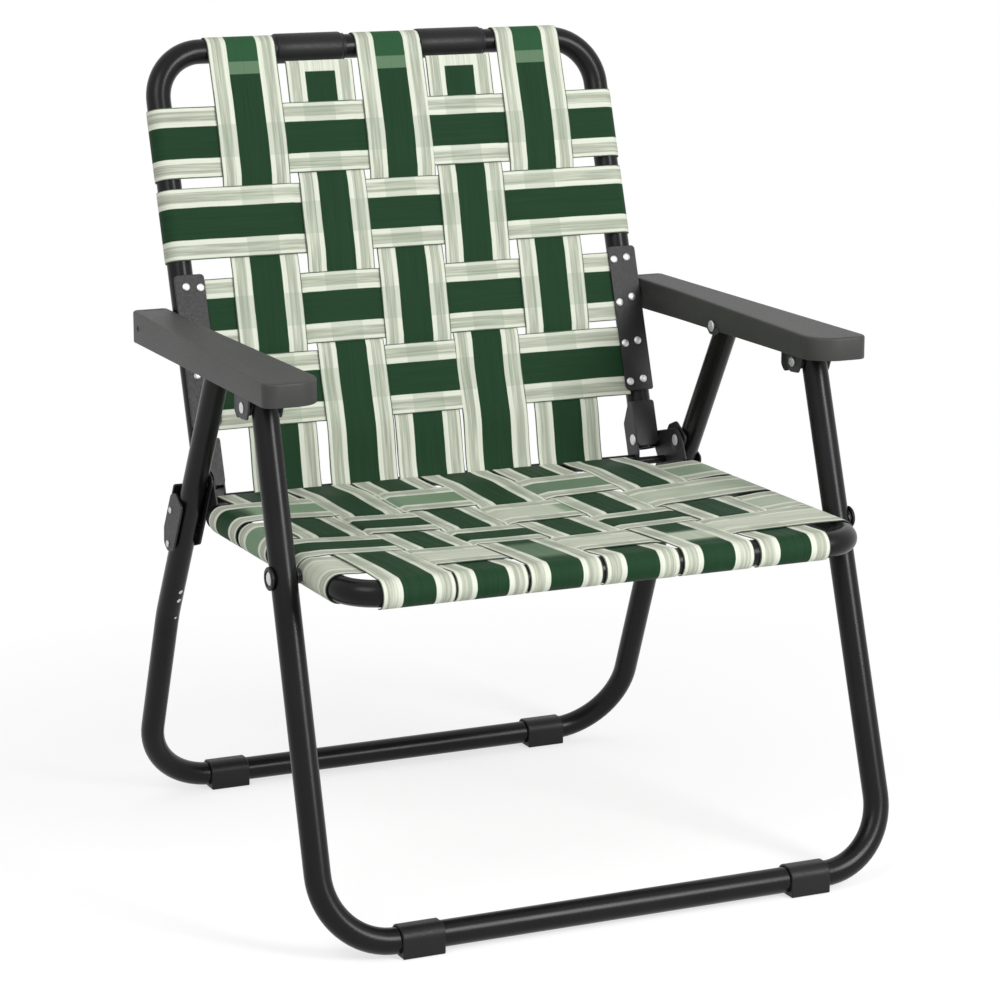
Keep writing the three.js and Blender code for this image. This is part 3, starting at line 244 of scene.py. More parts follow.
def webbing():
    """Woven strap, by its own coordinates: u across the width, v along the length in metres.
    Cream and grey stripes run beside a green middle. The attribute "under" paints the shadow
    of a crossing strap lying behind onto the pale stripes, "hem" turns the green to cream, a
    painted highlight lightens the green where the strap is doubled at the top bar, "fade"
    bleaches it, and "tone" sets each strap's streaks apart."""
    m, nodes, links, bsdf = material("webbing", 0.12)
    uv = node(nodes, "ShaderNodeUVMap", uv_map="strap")
    split = node(nodes, "ShaderNodeSeparateXYZ")
    links.new(uv.outputs["UV"], split.inputs["Vector"])
    u, v = split.outputs["X"], split.outputs["Y"]

    def sockets(n, values):
        for key, value in values:
            if isinstance(value, tuple):
                n.inputs[key].default_value = rgba(value)
            elif isinstance(value, (int, float)):
                n.inputs[key].default_value = value
            else:
                links.new(value, n.inputs[key])

    def computed(operation, *values):
        n = node(nodes, "ShaderNodeMath", operation=operation)
        sockets(n, enumerate(values))
        return n.outputs[0]

    def mixed(factor, a, b):
        n = node(nodes, "ShaderNodeMix", data_type="RGBA")
        sockets(n, (("Factor", factor), ("A", a), ("B", b)))
        return n.outputs["Result"]

    def attribute(name):
        return node(nodes, "ShaderNodeAttribute", attribute_name=name).outputs["Fac"]

    def stretched_noise(across, along, detail, offset=0.0):
        combine = node(nodes, "ShaderNodeCombineXYZ")
        links.new(computed("MULTIPLY", u, across), combine.inputs["X"])
        links.new(computed("MULTIPLY", v, along), combine.inputs["Y"])
        links.new(tone, combine.inputs["Z"])
        add = node(nodes, "ShaderNodeVectorMath", operation="ADD")
        links.new(combine.outputs[0], add.inputs[0])
        add.inputs[1].default_value = (offset, offset, offset)
        n = node(nodes, "ShaderNodeTexNoise", in_Scale=1.0, in_Detail=detail)
        links.new(add.outputs[0], n.inputs["Vector"])
        return n.outputs["Fac"]

    def blended(source, low, high, a, b):
        return mixed(share(nodes, links, source, low, high), a, b)

    tone = attribute("tone")
    fade = attribute("fade")
    shake = computed("SUBTRACT", stretched_noise(1.0, 22.0, 3.0), 0.5)
    wobble = computed("MULTIPLY", shake, STRIPE_WOBBLE)
    place = computed("ABSOLUTE", computed("SUBTRACT", computed("ADD", u, wobble), 0.5))
    streak = stretched_noise(75.0, 7.0, 4.0)
    broad = stretched_noise(30.0, 16.0, 3.0, 7.0)

    stone = blended(streak, 0.36, 0.66, STONE_DARK, STONE)
    stone = blended(broad, 0.45, 0.75, stone, CREAM_DIM)
    cream = blended(streak, 0.3, 0.6, CREAM_DIM, CREAM)
    pale = mixed(ramp(nodes, links, place, CREAM_IN_BAND), stone, cream)
    pale = mixed(computed("MULTIPLY", attribute("under"), SHADOW_AMOUNT), pale, STRIPE_SHADOW)

    green = blended(broad, 0.3, 0.75, GREEN_DEEP, GREEN)
    # Painted highlight where the strap is doubled at the top bar
    green = mixed(attribute("painted_highlight"), green, GREEN_PAINTED_HIGHLIGHT)
    half_faded = blended(fade, 0.0, 0.5, green, GREEN_FADED)
    bleached = blended(broad, 0.3, 0.7, STONE, CREAM_DIM)
    middle = blended(fade, 0.5, 1.0, half_faded, bleached)
    middle = mixed(attribute("hem"), middle, blended(streak, 0.3, 0.6, STONE, CREAM))
    # Painted shade in the crease along the middle
    middle = mixed(ramp(nodes, links, place, FOLD_SHADE_LINE), middle, GREEN_FOLD_SHADE)

    colour = mixed(ramp(nodes, links, place, PALE_BAND), middle, pale)
    # Painted shade along the strap's edges
    colour = mixed(ramp(nodes, links, place, EDGE_SHADE_STRIPE), colour, GREEN_EDGE_SHADE)
    links.new(colour, bsdf.inputs["Base Color"])
    links.new(ramp(nodes, links, streak, [(0.3, 0.5), (0.7, 0.68)]), bsdf.inputs["Roughness"])

    ribs = computed("SINE", computed("MULTIPLY", u, 2 * math.pi * RIBS))
    picks = computed("SINE", computed("MULTIPLY", v, 2 * math.pi * PICKS))
    cloth = computed("ADD", computed("MULTIPLY", ribs, picks), computed("MULTIPLY", ribs, 0.5))
    creases = stretched_noise(5.0, 26.0, 3.0, 3.0)
    below = bump(nodes, links, creases, 0.5, 0.0012, bsdf.inputs["Normal"])
    bump(nodes, links, cloth, 0.35, 0.00025, below)
    return m


COAT = coated_steel()
PLATE = dark_plate()
ARM_PLASTIC = moulded_plastic(
    "arm_plastic",
    colours=((0.034, 0.034, 0.033), (0.043, 0.043, 0.0415)),
    roughness=(0.46, 0.58),
    grain_scale=900.0,
    strength=0.18,
    specular=0.4,
)
CAP_PLASTIC = moulded_plastic(
    "cap_plastic",
    colours=((0.0075, 0.0075, 0.0075), (0.011, 0.011, 0.011)),
    roughness=(0.36, 0.5),
    grain_scale=700.0,
    strength=0.2,
    specular=0.24,
)
RIVET = bright_rivet()
WEBBING = webbing()

# Mesh building

SHARP_ANGLE, STRAP_SHARP_ANGLE = 38, 50
BEND_STEPS = 18
TUBE_SIDES, TUBE_WALL, TUBE_LIP, BORE_DEPTH = 40, 1.3, 0.35, 14.0
TURNED_SIDES, FINE_SIDES = 28, 40
DOME_STEPS, DOME_SKIRT_SHARE, DOME_WALL_SHARE = 6, 0.96, 0.25
POINT_RADIUS = 0.02
STRAIGHT_TURN, CORNER_ROOM, MITRE_LIMIT = 0.02, 0.49, 0.5
PLATE_THICK, PLATE_EDGE = 2.0, 0.4


class Shape:
    """One piece, gathered from closed bodies of (points, faces), in millimetres."""

    def __init__(self, *bodies):
        self.points = []
        self.faces = []
        for points, faces in bodies:
            start = len(self.points)
            self.points.extend(np.asarray(points, float).reshape(-1, 3).tolist())
            self.faces.extend(tuple(i + start for i in f) for f in faces)

    def mirrored(self):
        return Shape(([(-x, y, z) for x, y, z in self.points], [f[::-1] for f in self.faces]))


def piece(name, shape, mat, body, nodes=(), angle=SHARP_ANGLE, uvs=None, attributes=None):
    mesh = bpy.data.meshes.new(name)
    mesh.from_pydata(at(shape.points).tolist(), [], shape.faces)
    mesh.materials.append(mat)
    if uvs is not None:
        layer = mesh.uv_layers.new(name="strap")
        corners = np.array([i for f in shape.faces for i in f])
        layer.data.foreach_set("uv", np.asarray(uvs, np.float32)[corners].ravel())
    for key, values in (attributes or {}).items():
        data = mesh.attributes.new(key, "FLOAT", "POINT")
        data.data.foreach_set("value", np.asarray(values, np.float32))
    edit = bmesh.new()
    edit.from_mesh(mesh)
    bmesh.ops.recalc_face_normals(edit, faces=edit.faces)
    edit.to_mesh(mesh)
    edit.free()
    mesh.shade_smooth()
    mesh.set_sharp_from_angle(angle=math.radians(angle))
    obj = bpy.data.objects.new(name, mesh)
    bpy.context.scene.collection.objects.link(obj)
    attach(obj, body)
    if nodes:
        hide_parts(*nodes)
    return obj


def pair(name, shape, mat, body, replaced=True):
    """A piece on the viewer's right and its mirror image on the left."""
    for side, made in (("right", shape), ("left", shape.mirrored())):
        label = f"{name}_{side}"
        nodes = (label,) if replaced else ()
        piece(f"{label}_look", made, mat, body, nodes)


def loft(rings, cap_start=True, cap_end=True):
    rings = [np.asarray(r, float) for r in rings]
    n = len(rings[0])
    faces = []
    for i in range(len(rings) - 1):
        for k in range(n):
            a, b = i * n + k, i * n + (k + 1) % n
            faces.append((a, b, b + n, a + n))
    if cap_start:
        faces.append(tuple(reversed(range(n))))
    if cap_end:
        faces.append(tuple(range((len(rings) - 1) * n, len(rings) * n)))
    return np.concatenate(rings), faces


def sleeve(rings):
    """A sleeve around a tube: the last ring is joined to the first one inside."""
    points, faces = loft(rings, False, False)
    n = len(rings[0])
    last = (len(rings) - 1) * n
    faces += [(k, last + k, last + (k + 1) % n, (k + 1) % n) for k in range(n)]
    return Shape((points, faces))


def unit(v):
    v = np.asarray(v, float)
    return v / np.linalg.norm(v)


def turn_at(back, ahead):
    """How far a line turns at a corner, by the directions back and ahead."""
    return math.pi - math.acos(np.clip(back @ ahead, -1, 1))


def unit_circle(first, second, sides, offset=0.0):
    angles = 2 * math.pi * (np.arange(sides) + offset) / sides
    return np.outer(np.cos(angles), first) + np.outer(np.sin(angles), second)


def turned_about(v, axis, angle):
    return (
        v * math.cos(angle)
        + np.cross(axis, v) * math.sin(angle)
        + axis * np.dot(axis, v) * (1 - math.cos(angle))
    )


def rounded_route(corners, radii):
    """The axis of a bent tube, with an arc of the given radius at each inner corner."""
    corners = [np.asarray(c, float) for c in corners]
    route = [corners[0]]
    for i in range(1, len(corners) - 1):
        back = unit(corners[i - 1] - corners[i])
        ahead = unit(corners[i + 1] - corners[i])
        turn = turn_at(back, ahead)
        reach = radii[i] * math.tan(turn / 2)
        centre = corners[i] + unit(back + ahead) * radii[i] / math.cos(turn / 2)
        first = corners[i] + back * reach - centre
        axis = -unit(np.cross(back, ahead))
        steps = max(2, round(turn / (math.pi / 2) * BEND_STEPS))
        for k in range(steps + 1):
            route.append(centre + turned_about(first, axis, turn * k / steps))
    route.append(corners[-1])
    return route


def section_rings(route, radius):
    """Rings of a round section carried along a route without twist."""
    ahead = unit(route[1] - route[0])
    across = X_AXIS if abs(ahead @ X_AXIS) < 0.7 else Y_AXIS
    across = unit(across - ahead * (across @ ahead))
    circle = unit_circle(across, np.cross(ahead, across), TUBE_SIDES, 0.5)
    rings = [route[0] + circle * radius]
    for i in range(1, len(route)):
        along = unit(route[i] - route[i - 1])
        normal = along if i == len(route) - 1 else unit(along + unit(route[i + 1] - route[i]))
        move = ((route[i] - rings[-1]) @ normal) / (along @ normal)
        rings.append(rings[-1] + np.outer(move, along))
    return rings


def tube(corners, radii, radius):
    """A bent tube with a lip and a short visible bore at each open end."""
    route = rounded_route(corners, radii)
    rings = section_rings(route, radius)
    first, last = unit(route[1] - route[0]), unit(route[-1] - route[-2])

    def scaled(ring, centre, part):
        return centre + (ring - centre) * part

    inner = (radius - TUBE_WALL) / radius
    soft = (radius - TUBE_LIP) / radius
    start = [
        scaled(rings[0], route[0], inner) + first * BORE_DEPTH,
        scaled(rings[0], route[0], inner),
        scaled(rings[0], route[0], soft),
        rings[0] + first * TUBE_LIP,
    ]
    end = [
        rings[-1] - last * TUBE_LIP,
        scaled(rings[-1], route[-1], soft),
        scaled(rings[-1], route[-1], inner),
        scaled(rings[-1], route[-1], inner) - last * BORE_DEPTH,
    ]
    return Shape(loft(start + rings[1:-1] + end))


def turned(profile, origin, axis, sides=TURNED_SIDES):
    """A turned body: (radius, height) pairs along the axis, closed at both ends."""
    axis = unit(axis)
    across = unit(np.cross(axis, Z_AXIS if abs(axis @ Z_AXIS) < 0.9 else X_AXIS))
    circle = unit_circle(across, np.cross(axis, across), sides)
    origin = np.asarray(origin, float)
    return loft([origin + axis * h + circle * max(r, POINT_RADIUS) for r, h in profile])


def dome(radius, height, base=0.0, skirt=0.6):
    """Profile of a set rivet's head, from its seat up."""
    wall = base + height * DOME_WALL_SHARE
    steps = [(radius * DOME_SKIRT_SHARE, base - skirt), (radius, base), (radius, wall)]
    for k in range(1, DOME_STEPS + 1):
        a = math.pi / 2 * k / DOME_STEPS
        rise = DOME_WALL_SHARE + (1 - DOME_WALL_SHARE) * math.sin(a)
        steps.append((radius * math.cos(a), base + height * rise))
    return steps


def rounded_outline(points, radius, steps=6):
    """A flat outline with its corners rounded by one radius, or by one for each."""
    points = [np.asarray(p, float) for p in points]
    radii = radius if isinstance(radius, (list, tuple)) else [radius] * len(points)
    out = []
    for i, corner in enumerate(points):
        before, after = points[i - 1] - corner, points[(i + 1) % len(points)] - corner
        back, ahead = unit(before), unit(after)
        turn = turn_at(back, ahead)
        if turn < STRAIGHT_TURN:
            out.append(corner)
            continue
        room = min(np.linalg.norm(before), np.linalg.norm(after))
        reach = min(radii[i] * math.tan(turn / 2), room * CORNER_ROOM)
        r = reach / math.tan(turn / 2)
        centre = corner + unit(back + ahead) * r / math.cos(turn / 2)
        a0 = math.atan2(*(corner + back * reach - centre)[::-1])
        a1 = math.atan2(*(corner + ahead * reach - centre)[::-1])
        sweep = (a1 - a0 + math.pi) % (2 * math.pi) - math.pi
        for k in range(steps + 1):
            a = a0 + sweep * k / steps
            out.append(centre + r * np.array((math.cos(a), math.sin(a))))
    return np.array(out)


def inset_outline(outline, amount):
    n = len(outline)
    area = sum(
        outline[i][0] * outline[(i + 1) % n][1] - outline[(i + 1) % n][0] * outline[i][1]
        for i in range(n)
    )
    side = 1 if area > 0 else -1
    moved = []
    for i in range(n):
        a = unit(outline[i] - outline[i - 1])
        b = unit(outline[(i + 1) % n] - outline[i])
        na, nb = np.array((-a[1], a[0])) * side, np.array((-b[1], b[0])) * side
        bisector = unit(na + nb)
        moved.append(outline[i] + bisector * amount / max(MITRE_LIMIT, bisector @ na))
    return np.array(moved)


def slab(outline, h0, h1, chamfer=PLATE_EDGE, origin=(0, 0, 0), axes=(Y_AXIS, Z_AXIS, X_AXIS)):
    """A plate of the given outline between two heights, with softened edges. The axes are the
    outline's first and second direction and that of the heights."""
    small = inset_outline(outline, chamfer)
    levels = [(small, h0), (outline, h0 + chamfer), (outline, h1 - chamfer), (small, h1)]
    along = np.array(axes[:2])
    return loft([np.asarray(origin, float) + flat @ along + axes[2] * h for flat, h in levels])


def box_outline(low, high):
    """The four corners of a rectangle, to be rounded."""
    return [low, (high[0], low[1]), high, (low[0], high[1])]


# Frames


def frame_loop(name, half, bends, radius, body, node_name):
    """A bent tube with equal sides, from the corners and bend radii of its right half."""
    corners = [(-x, y, z) for x, y, z in half] + list(reversed(half))
    piece(f"{name}_look", tube(corners, bends + bends[::-1], radius), COAT, body, [node_name])


def front_x(z):
    return FRONT_X + (FRONT_TOP_X - FRONT_X) * (z - BAR_Z) / (PIVOT_C[1] - BAR_Z)


front_slope = FRONT_RUN / (PIVOT_C[1] - BAR_Z)
front_end = (front_x(FRONT_TOP_Z), (FRONT_TOP_Z - BAR_Z) * front_slope, FRONT_TOP_Z)
front_half = [front_end, (FRONT_X, 0, BAR_Z)]
frame_loop("front_legs", front_half, [0, FRONT_BEND], TUBE, "front_legs", "front_leg_frame")

seat_half = [(SEAT_X, SEAT_END_Y, SEAT_Z), (SEAT_X, SEAT_FRONT_Y, SEAT_Z)]
frame_loop("seat_frame", seat_half, [0, SEAT_BEND], TUBE, "seat", "seat_frame")

back_half = [back_point(BACK_X, BACK_FOOT, 0), back_point(BACK_X, BACK_TOP, 0)]
frame_loop("back_frame", back_half, [0, BACK_BEND], TUBE, "back", "back_frame")

rear_down = unit((0.0, PIVOT_E[0] - PIVOT_B[0], PIVOT_E[1] - PIVOT_B[1]))
rear_behind = np.array((0.0, -rear_down[2], rear_down[1]))


def rear_point(x, distance):
    """A point on a rear leg's axis, by its distance below the armrest's pivot."""
    return np.array((x, *PIVOT_B)) + rear_down * distance


rear_half = [
    rear_point(REAR_X, REAR_TOP),
    rear_point(REAR_X, REAR_KNEE),
    (REAR_X, REAR_BAR_Y, BAR_Z),
]
rear_bends = [0, REAR_KNEE_BEND, REAR_BEND]
frame_loop("rear_legs", rear_half, rear_bends, REAR_TUBE, "rear_legs", "rear_leg_frame")

# Foot caps

CAP_HALF_WIDTH, CAP_TOP, CAP_LENGTH = 14.8, 28.6, 42
CAP_TOP_CORNER, CAP_SOLE_CORNER = 11.5, 1.2
CAP_RIM = 0.8
CAP_MOUTH_GAP, CAP_GAP, CAP_MOUTH_DEPTH = 0.9, 0.2, 7
FRONT_CAP_X, REAR_CAP_X = 202, 185


def foot_cap(x, y, radius):
    """A moulded sleeve, flat underneath and rounded above, a little loose at its mouths."""
    half = CAP_LENGTH / 2
    section = rounded_outline(
        box_outline((-CAP_HALF_WIDTH, 0.0), (CAP_HALF_WIDTH, CAP_TOP)),
        [CAP_SOLE_CORNER, CAP_SOLE_CORNER, CAP_TOP_CORNER, CAP_TOP_CORNER],
        8,
    )
    soft = inset_outline(section, CAP_RIM)
    middle = np.array((0.0, BAR_Z))

    def bore(gap):
        return [middle + unit(p - middle) * (radius + gap) for p in section]

    one_end = [
        (half - CAP_MOUTH_DEPTH, bore(CAP_GAP)),
        (half, bore(CAP_MOUTH_GAP)),
        (half, soft),
        (half - CAP_RIM, section),
    ]
    stations = [(-place, flat) for place, flat in one_end] + one_end[::-1]
    return sleeve([[(x + place, y + a, b) for a, b in flat] for place, flat in stations])


pair("front_foot_cap", foot_cap(FRONT_CAP_X, 0, TUBE), CAP_PLASTIC, "front_legs")
pair("rear_foot_cap", foot_cap(REAR_CAP_X, REAR_BAR_Y, REAR_TUBE), CAP_PLASTIC, "rear_legs")

# Straps

STRAP, STRAP_GAP = 1.2, 0.35
WEAVE, WEAVE_LEVEL = 0.9, TUBE + 0.9
TUBE_WRAP = TUBE + STRAP_GAP + STRAP / 2
ROD_WRAP = ROD + STRAP_GAP + STRAP / 2
SEAT_SAG, SEAT_FIELD_HALF, SEAT_FIELD_START, SEAT_FIELD_LENGTH = 8.0, 246, 4, 402
BACK_SAG, BACK_FIELD_HALF, BACK_FIELD_START, BACK_FIELD_LENGTH = 2.5, 232, -36, 440
RUN_STEP, SHORTEST_STEP = 6, 0.05
CROSSING_EDGE, SHADE_EDGE, SHADED_SHARE = 1, 0.4, 0.46
END_THICKNESS = 0.6
TONE_STEP = 3.7

# A strap's section: columns over its width, and its thickness at each
COLUMNS = np.array([0, 0.01, 0.035, 0.15, 0.27, 0.4, 0.5, 0.6, 0.73, 0.85, 0.965, 0.99, 1])
EDGE = np.array([0.3, 0.85, 1, 1, 1, 1, 1, 1, 1, 1, 1, 0.85, 0.3])


def smoothstep(t):
    t = np.clip(t, 0, 1)
    return t * t * (3 - 2 * t)


def hollow(across, along):
    """How far a woven field gives, 0 at its edges and 1 in its middle."""
    return np.clip(1 - across**2, 0, None) * np.sin(np.pi * np.clip(along, 0, 1))


def seat_sag(p):
    along = (p[:, 1] - SEAT_FIELD_START) / SEAT_FIELD_LENGTH
    return -Z_AXIS, SEAT_SAG * hollow(p[:, 0] / SEAT_FIELD_HALF, along)


def back_sag(p):
    along = ((p - BACK_ORIGIN) @ BACK_UP - BACK_FIELD_START) / BACK_FIELD_LENGTH
    return -BACK_FRONT, BACK_SAG * hollow(p[:, 0] / BACK_FIELD_HALF, along)


def arc(centre, radius, start, stop, steps):
    angles = np.linspace(start, stop, steps + 1)
    return [(centre[0] + radius * math.cos(a), centre[1] + radius * math.sin(a)) for a in angles]


def other_end(finish):
    return [(-a, b) for a, b in reversed(finish)]


def plain(place):
    return 0.0, 0.0, 0.0


def heading(crossings):
    return math.copysign(1, crossings[-1] - crossings[0])


def woven_run(first, last, crossings, half, over_first):
    """Points from first to last that pass over and under the crossings by turns."""
    reach = heading(crossings) * (half - CROSSING_EDGE)
    keys = [first]
    for i, place in enumerate(crossings):
        over = (i % 2 == 0) == over_first
        height = WEAVE_LEVEL + (WEAVE if over else -WEAVE)
        keys += [(place - reach, height), (place + reach, height)]
    keys.append(last)
    run = []
    for (s0, h0), (s1, h1) in zip(keys[:-1], keys[1:]):
        count = max(2, int(abs(s1 - s0) / RUN_STEP))
        for k in range(count):
            t = k / count
            run.append((s0 + (s1 - s0) * t, h0 + (h1 - h0) * float(smoothstep(t))))
    return run


def strap_path(start, crossings, half, over_first, finish, borders):
    """A strap's whole path, with extra points where its shade changes, and for each point
    a flag that is 1 in the middle of a crossing."""
    ahead = heading(crossings)
    run = np.array(woven_run(start[-1], finish[0], crossings, half, over_first))
    places, heights = run[:, 0] * ahead, run[:, 1]
    reach = half * SHADED_SHARE
    shaded = [(place - reach, place + reach) for place in crossings]
    edges = [edge for both in shaded for edge in both] + list(borders)
    extra = [(edge + step) * ahead for edge in edges for step in (-SHADE_EDGE, SHADE_EDGE)]
    extra = [place for place in extra if places[0] < place < places[-1]]
    merged = sorted(set(np.round(np.concatenate([places, extra]), 3)))
    woven = [(s * ahead, h) for s, h in zip(merged, np.interp(merged, places, heights))]
    flags = [float(any(low < s < high for low, high in shaded)) for s, _ in woven]
    flags = np.array([0.0] * (len(start) - 1) + flags + [0.0] * len(finish))
    path = np.array(list(start[:-1]) + woven + list(finish), float)
    far_enough = np.linalg.norm(np.diff(path, axis=0), axis=1) > SHORTEST_STEP
    keep = np.concatenate([[True], far_enough])
    return path[keep], flags[keep]


def strap(body, node_name, start, crossings, half, over_first, finish,
          width, origin, along, up, sag, seed, tint=plain, borders=(), lean=(0.0, 0.0)):
    """A woven strap: a start, a woven run over the listed crossings, and a finish, all as
    (distance, height) pairs in the strap's own plane. half is half the width of the straps it
    crosses, tint gives the hem, painted highlight and fade shades at a distance, borders are the
    distances where they change at once, and lean is how far the first and last crossings are
    moved sideways."""
    out = np.cross(along, up)
    ahead = heading(crossings)
    path, flags = strap_path(start, crossings, half, over_first, finish, borders)
    steps = np.diff(path, axis=0)
    reaches = np.linalg.norm(steps, axis=1)
    lengths = np.concatenate([[0], np.cumsum(reaches)])
    steps /= reaches[:, None]
    tangents = np.vstack([steps[:1], steps[:-1] + steps[1:], steps[-1:]])
    tangents /= np.linalg.norm(tangents, axis=1)[:, None]
    normals = np.stack([-tangents[:, 1], tangents[:, 0]], 1)
    slant = np.interp(path[:, 0] * ahead, [crossings[0] * ahead, crossings[-1] * ahead], lean)
    thick = np.full(len(path), STRAP / 2)
    thick[[0, -1]] *= END_THICKNESS
    points, uvs = [], []
    for i, (p, normal) in enumerate(zip(path, normals)):
        for side in (1, -1):
            for column, edge in list(zip(COLUMNS, EDGE))[::side]:
                q = p + normal * thick[i] * edge * side
                sideways = (column - 0.5) * width + slant[i]
                points.append(origin + along * q[0] + up * q[1] + out * sideways)
                uvs.append((column, lengths[i] / MM_PER_METRE))
    points = np.array(points)
    push, amount = sag(points)
    points = points + np.outer(amount, push)
    around = 2 * len(COLUMNS)
    shape = Shape(loft(points.reshape(len(path), around, 3)))
    shades = [tint(place) for place in path[:, 0]]
    attributes = {"under": np.repeat(flags, around)}
    for key, values in zip(("hem", "painted_highlight", "fade"), zip(*shades)):
        attributes[key] = np.repeat(values, around)
    attributes["tone"] = np.full(len(points), seed * TONE_STEP)
    look = f"{node_name}_look"
    made = piece(look, shape, WEBBING, body, [node_name], STRAP_SHARP_ANGLE, uvs, attributes)


def bleach(stops):
    """A tint that fades the green between (place, fade) stops along a strap."""
    places, fades = zip(*stops)
    return lambda place: (0.0, 0.0, float(np.interp(place, places, fades)))


# The back's webbing
BACK_PITCH = 79.0
BACK_STRAP_WIDTH, BACK_BAND_WIDTH = 73.5, 73
BACK_STRAP_CROSSING, BACK_BAND_CROSSING = 36.5, 37.5
back_places = [(i - 2) * BACK_PITCH for i in range(5)]
back_bands = [320.0, 237.0, 144.0, 64.0]
WRAPPED_BANDS = 2
QUARTER = math.pi / 2
UNDER_BAR = -0.6 * math.pi

# A short strap ends in a cream hem below the top bar. A long one goes around the bar and is
# doubled from the same height up, where a painted highlight lightens its green, a little faded at
# first.
HEM_EDGE, FADE_EDGE, HEM_FADE = 388.0, 401.0, 0.25
SHORT_END, SHORT_RISE = 16.5, 3.5

# How far each back strap stands to one side of its place, at the top and at the bottom
back_leans = [(3.0, -4.0), (6.0, 1.0), (7.0, -3.0), (4.0, -6.5), (7.5, -3.0)]


def short_strap_tint(place):
    return (1.0 if place > HEM_EDGE else 0.0), 0.0, 0.0


def long_strap_tint(place):
    if place < HEM_EDGE:
        return 0.0, 0.0, 0.0
    return 0.0, 1.0, (0.0 if place > FADE_EDGE else HEM_FADE)


for i, x in enumerate(back_places):
    short = i % 2 == 1
    if short:
        start = [
            (BACK_TOP - SHORT_END, WEAVE_LEVEL - STRAP / 2),
            (BACK_TOP - SHORT_END - SHORT_RISE, WEAVE_LEVEL),
        ]
    else:
        start = arc((BACK_TOP, 0), TUBE_WRAP, -1.1 * QUARTER, QUARTER + 0.12, 20)
    strap(
        "back", f"back_strap_{i + 1}",
        start, back_bands, BACK_STRAP_CROSSING, not short,
        arc((BACK_ROD, 0), ROD_WRAP, QUARTER - 0.25, math.pi * 1.45, 12),
        BACK_STRAP_WIDTH, X_AXIS * x + BACK_ORIGIN, BACK_UP, BACK_FRONT, back_sag, i + 1,
        tint=short_strap_tint if short else long_strap_tint,
        borders=(HEM_EDGE,) if short else (HEM_EDGE, FADE_EDGE),
        lean=back_leans[i],
    )

# The upper bands go around the uprights, and the lower ones end under the side plates
BAND_END, BAND_END_RISE = 231.5, (15.5, 0.2)

for i, up_at in enumerate(back_bands):
    if i < WRAPPED_BANDS:
        finish = arc((BACK_X, 0), TUBE_WRAP, QUARTER, UNDER_BAR, 18)
    else:
        flush = TUBE - STRAP / 2
        finish = [(BAND_END - BAND_END_RISE[0], flush + BAND_END_RISE[1]), (BAND_END, flush)]
    strap(
        "back", f"back_band_{i + 1}",
        other_end(finish), back_places, BACK_BAND_CROSSING, i % 2 == 1, finish,
        BACK_BAND_WIDTH, BACK_ORIGIN + BACK_UP * up_at, X_AXIS, BACK_FRONT, back_sag, i + 11,
    )

# The seat's webbing and its faded stretches
seat_places = [-201.0, -129.0, -55.1, 22.9, 102.0, 183.0]
seat_bands = [76.0, 148.0, 228.1, 310.0]
seat_strap_widths = [71.0, 70.5, 73.0, 76.0, 74.0, 75.0]
seat_band_widths = [71.0, 71.5, 74.0, 76.0]
SEAT_CROSSING = 35.3
SEAT_LEAN = (0.0, -8.0)
strap_tints = {
    2: bleach([(20, 0.0), (34, 0.28), (88, 0.22), (98, 0.0)]),
    4: bleach([(27, 0.0), (33, 0.85), (68, 0.85), (74, 0.0)]),
}
third_band_fades = [
    (-256, 0.45), (-250, 0.0), (-50, 0.0), (-42, 0.95),
    (46, 0.95), (52, 0.5), (150, 0.9), (260, 0.75),
]
fourth_band_fades = [
    (-250, 0.0), (-240, 0.55), (-190, 0.5), (-60, 0.45), (10, 0.3), (180, 0.35), (200, 0.6),
]
band_tints = [
    bleach([(-260, 1.0), (260, 1.0)]),
    bleach([(150, 0.0), (185, 0.8)]),
    bleach(third_band_fades),
    bleach(fourth_band_fades),
]

for i, x in enumerate(seat_places):
    strap(
        "seat", f"seat_strap_{i + 1}",
        arc((SEAT_FRONT_Y, 0), TUBE_WRAP, 3 * QUARTER, QUARTER, 20),
        seat_bands, SEAT_CROSSING, i % 2 == 0,
        arc((SEAT_ROD[0], SEAT_ROD[1] - SEAT_Z), ROD_WRAP, QUARTER, UNDER_BAR, 12),
        seat_strap_widths[i], np.array((x, 0, SEAT_Z)), Y_AXIS, Z_AXIS, seat_sag, i + 21,
        tint=strap_tints.get(i, plain),
        lean=SEAT_LEAN,
    )

for i, y in enumerate(seat_bands):
    finish = arc((SEAT_X, 0), TUBE_WRAP, QUARTER, UNDER_BAR, 18)
    strap(
        "seat", f"seat_band_{i + 1}",
        other_end(finish), seat_places, SEAT_CROSSING, i % 2 == 1, finish,
        seat_band_widths[i], np.array((0, y, SEAT_Z)), X_AXIS, Z_AXIS, seat_sag, i + 31,
        tint=band_tints[i],
    )

# Rods

ROD_EDGE = 0.5


def rod(name, half, centre, body):
    """A thin rod across the chair, softened at its ends."""
    right_end = [(ROD, half - ROD_EDGE), (ROD - ROD_EDGE, half)]
    profile = [(r, -x) for r, x in reversed(right_end)] + right_end
    piece(f"{name}_look", Shape(turned(profile, centre, X_AXIS)), COAT, body, [name])


rod("seat_rear_rod", SEAT_ROD_HALF, (0, *SEAT_ROD), "seat")
rod("back_lower_rod", BACK_ROD_HALF, back_point(0, BACK_ROD, 0), "back")

# Armrests: a tapering outline, a sloping underside and top, and a rounded top edge

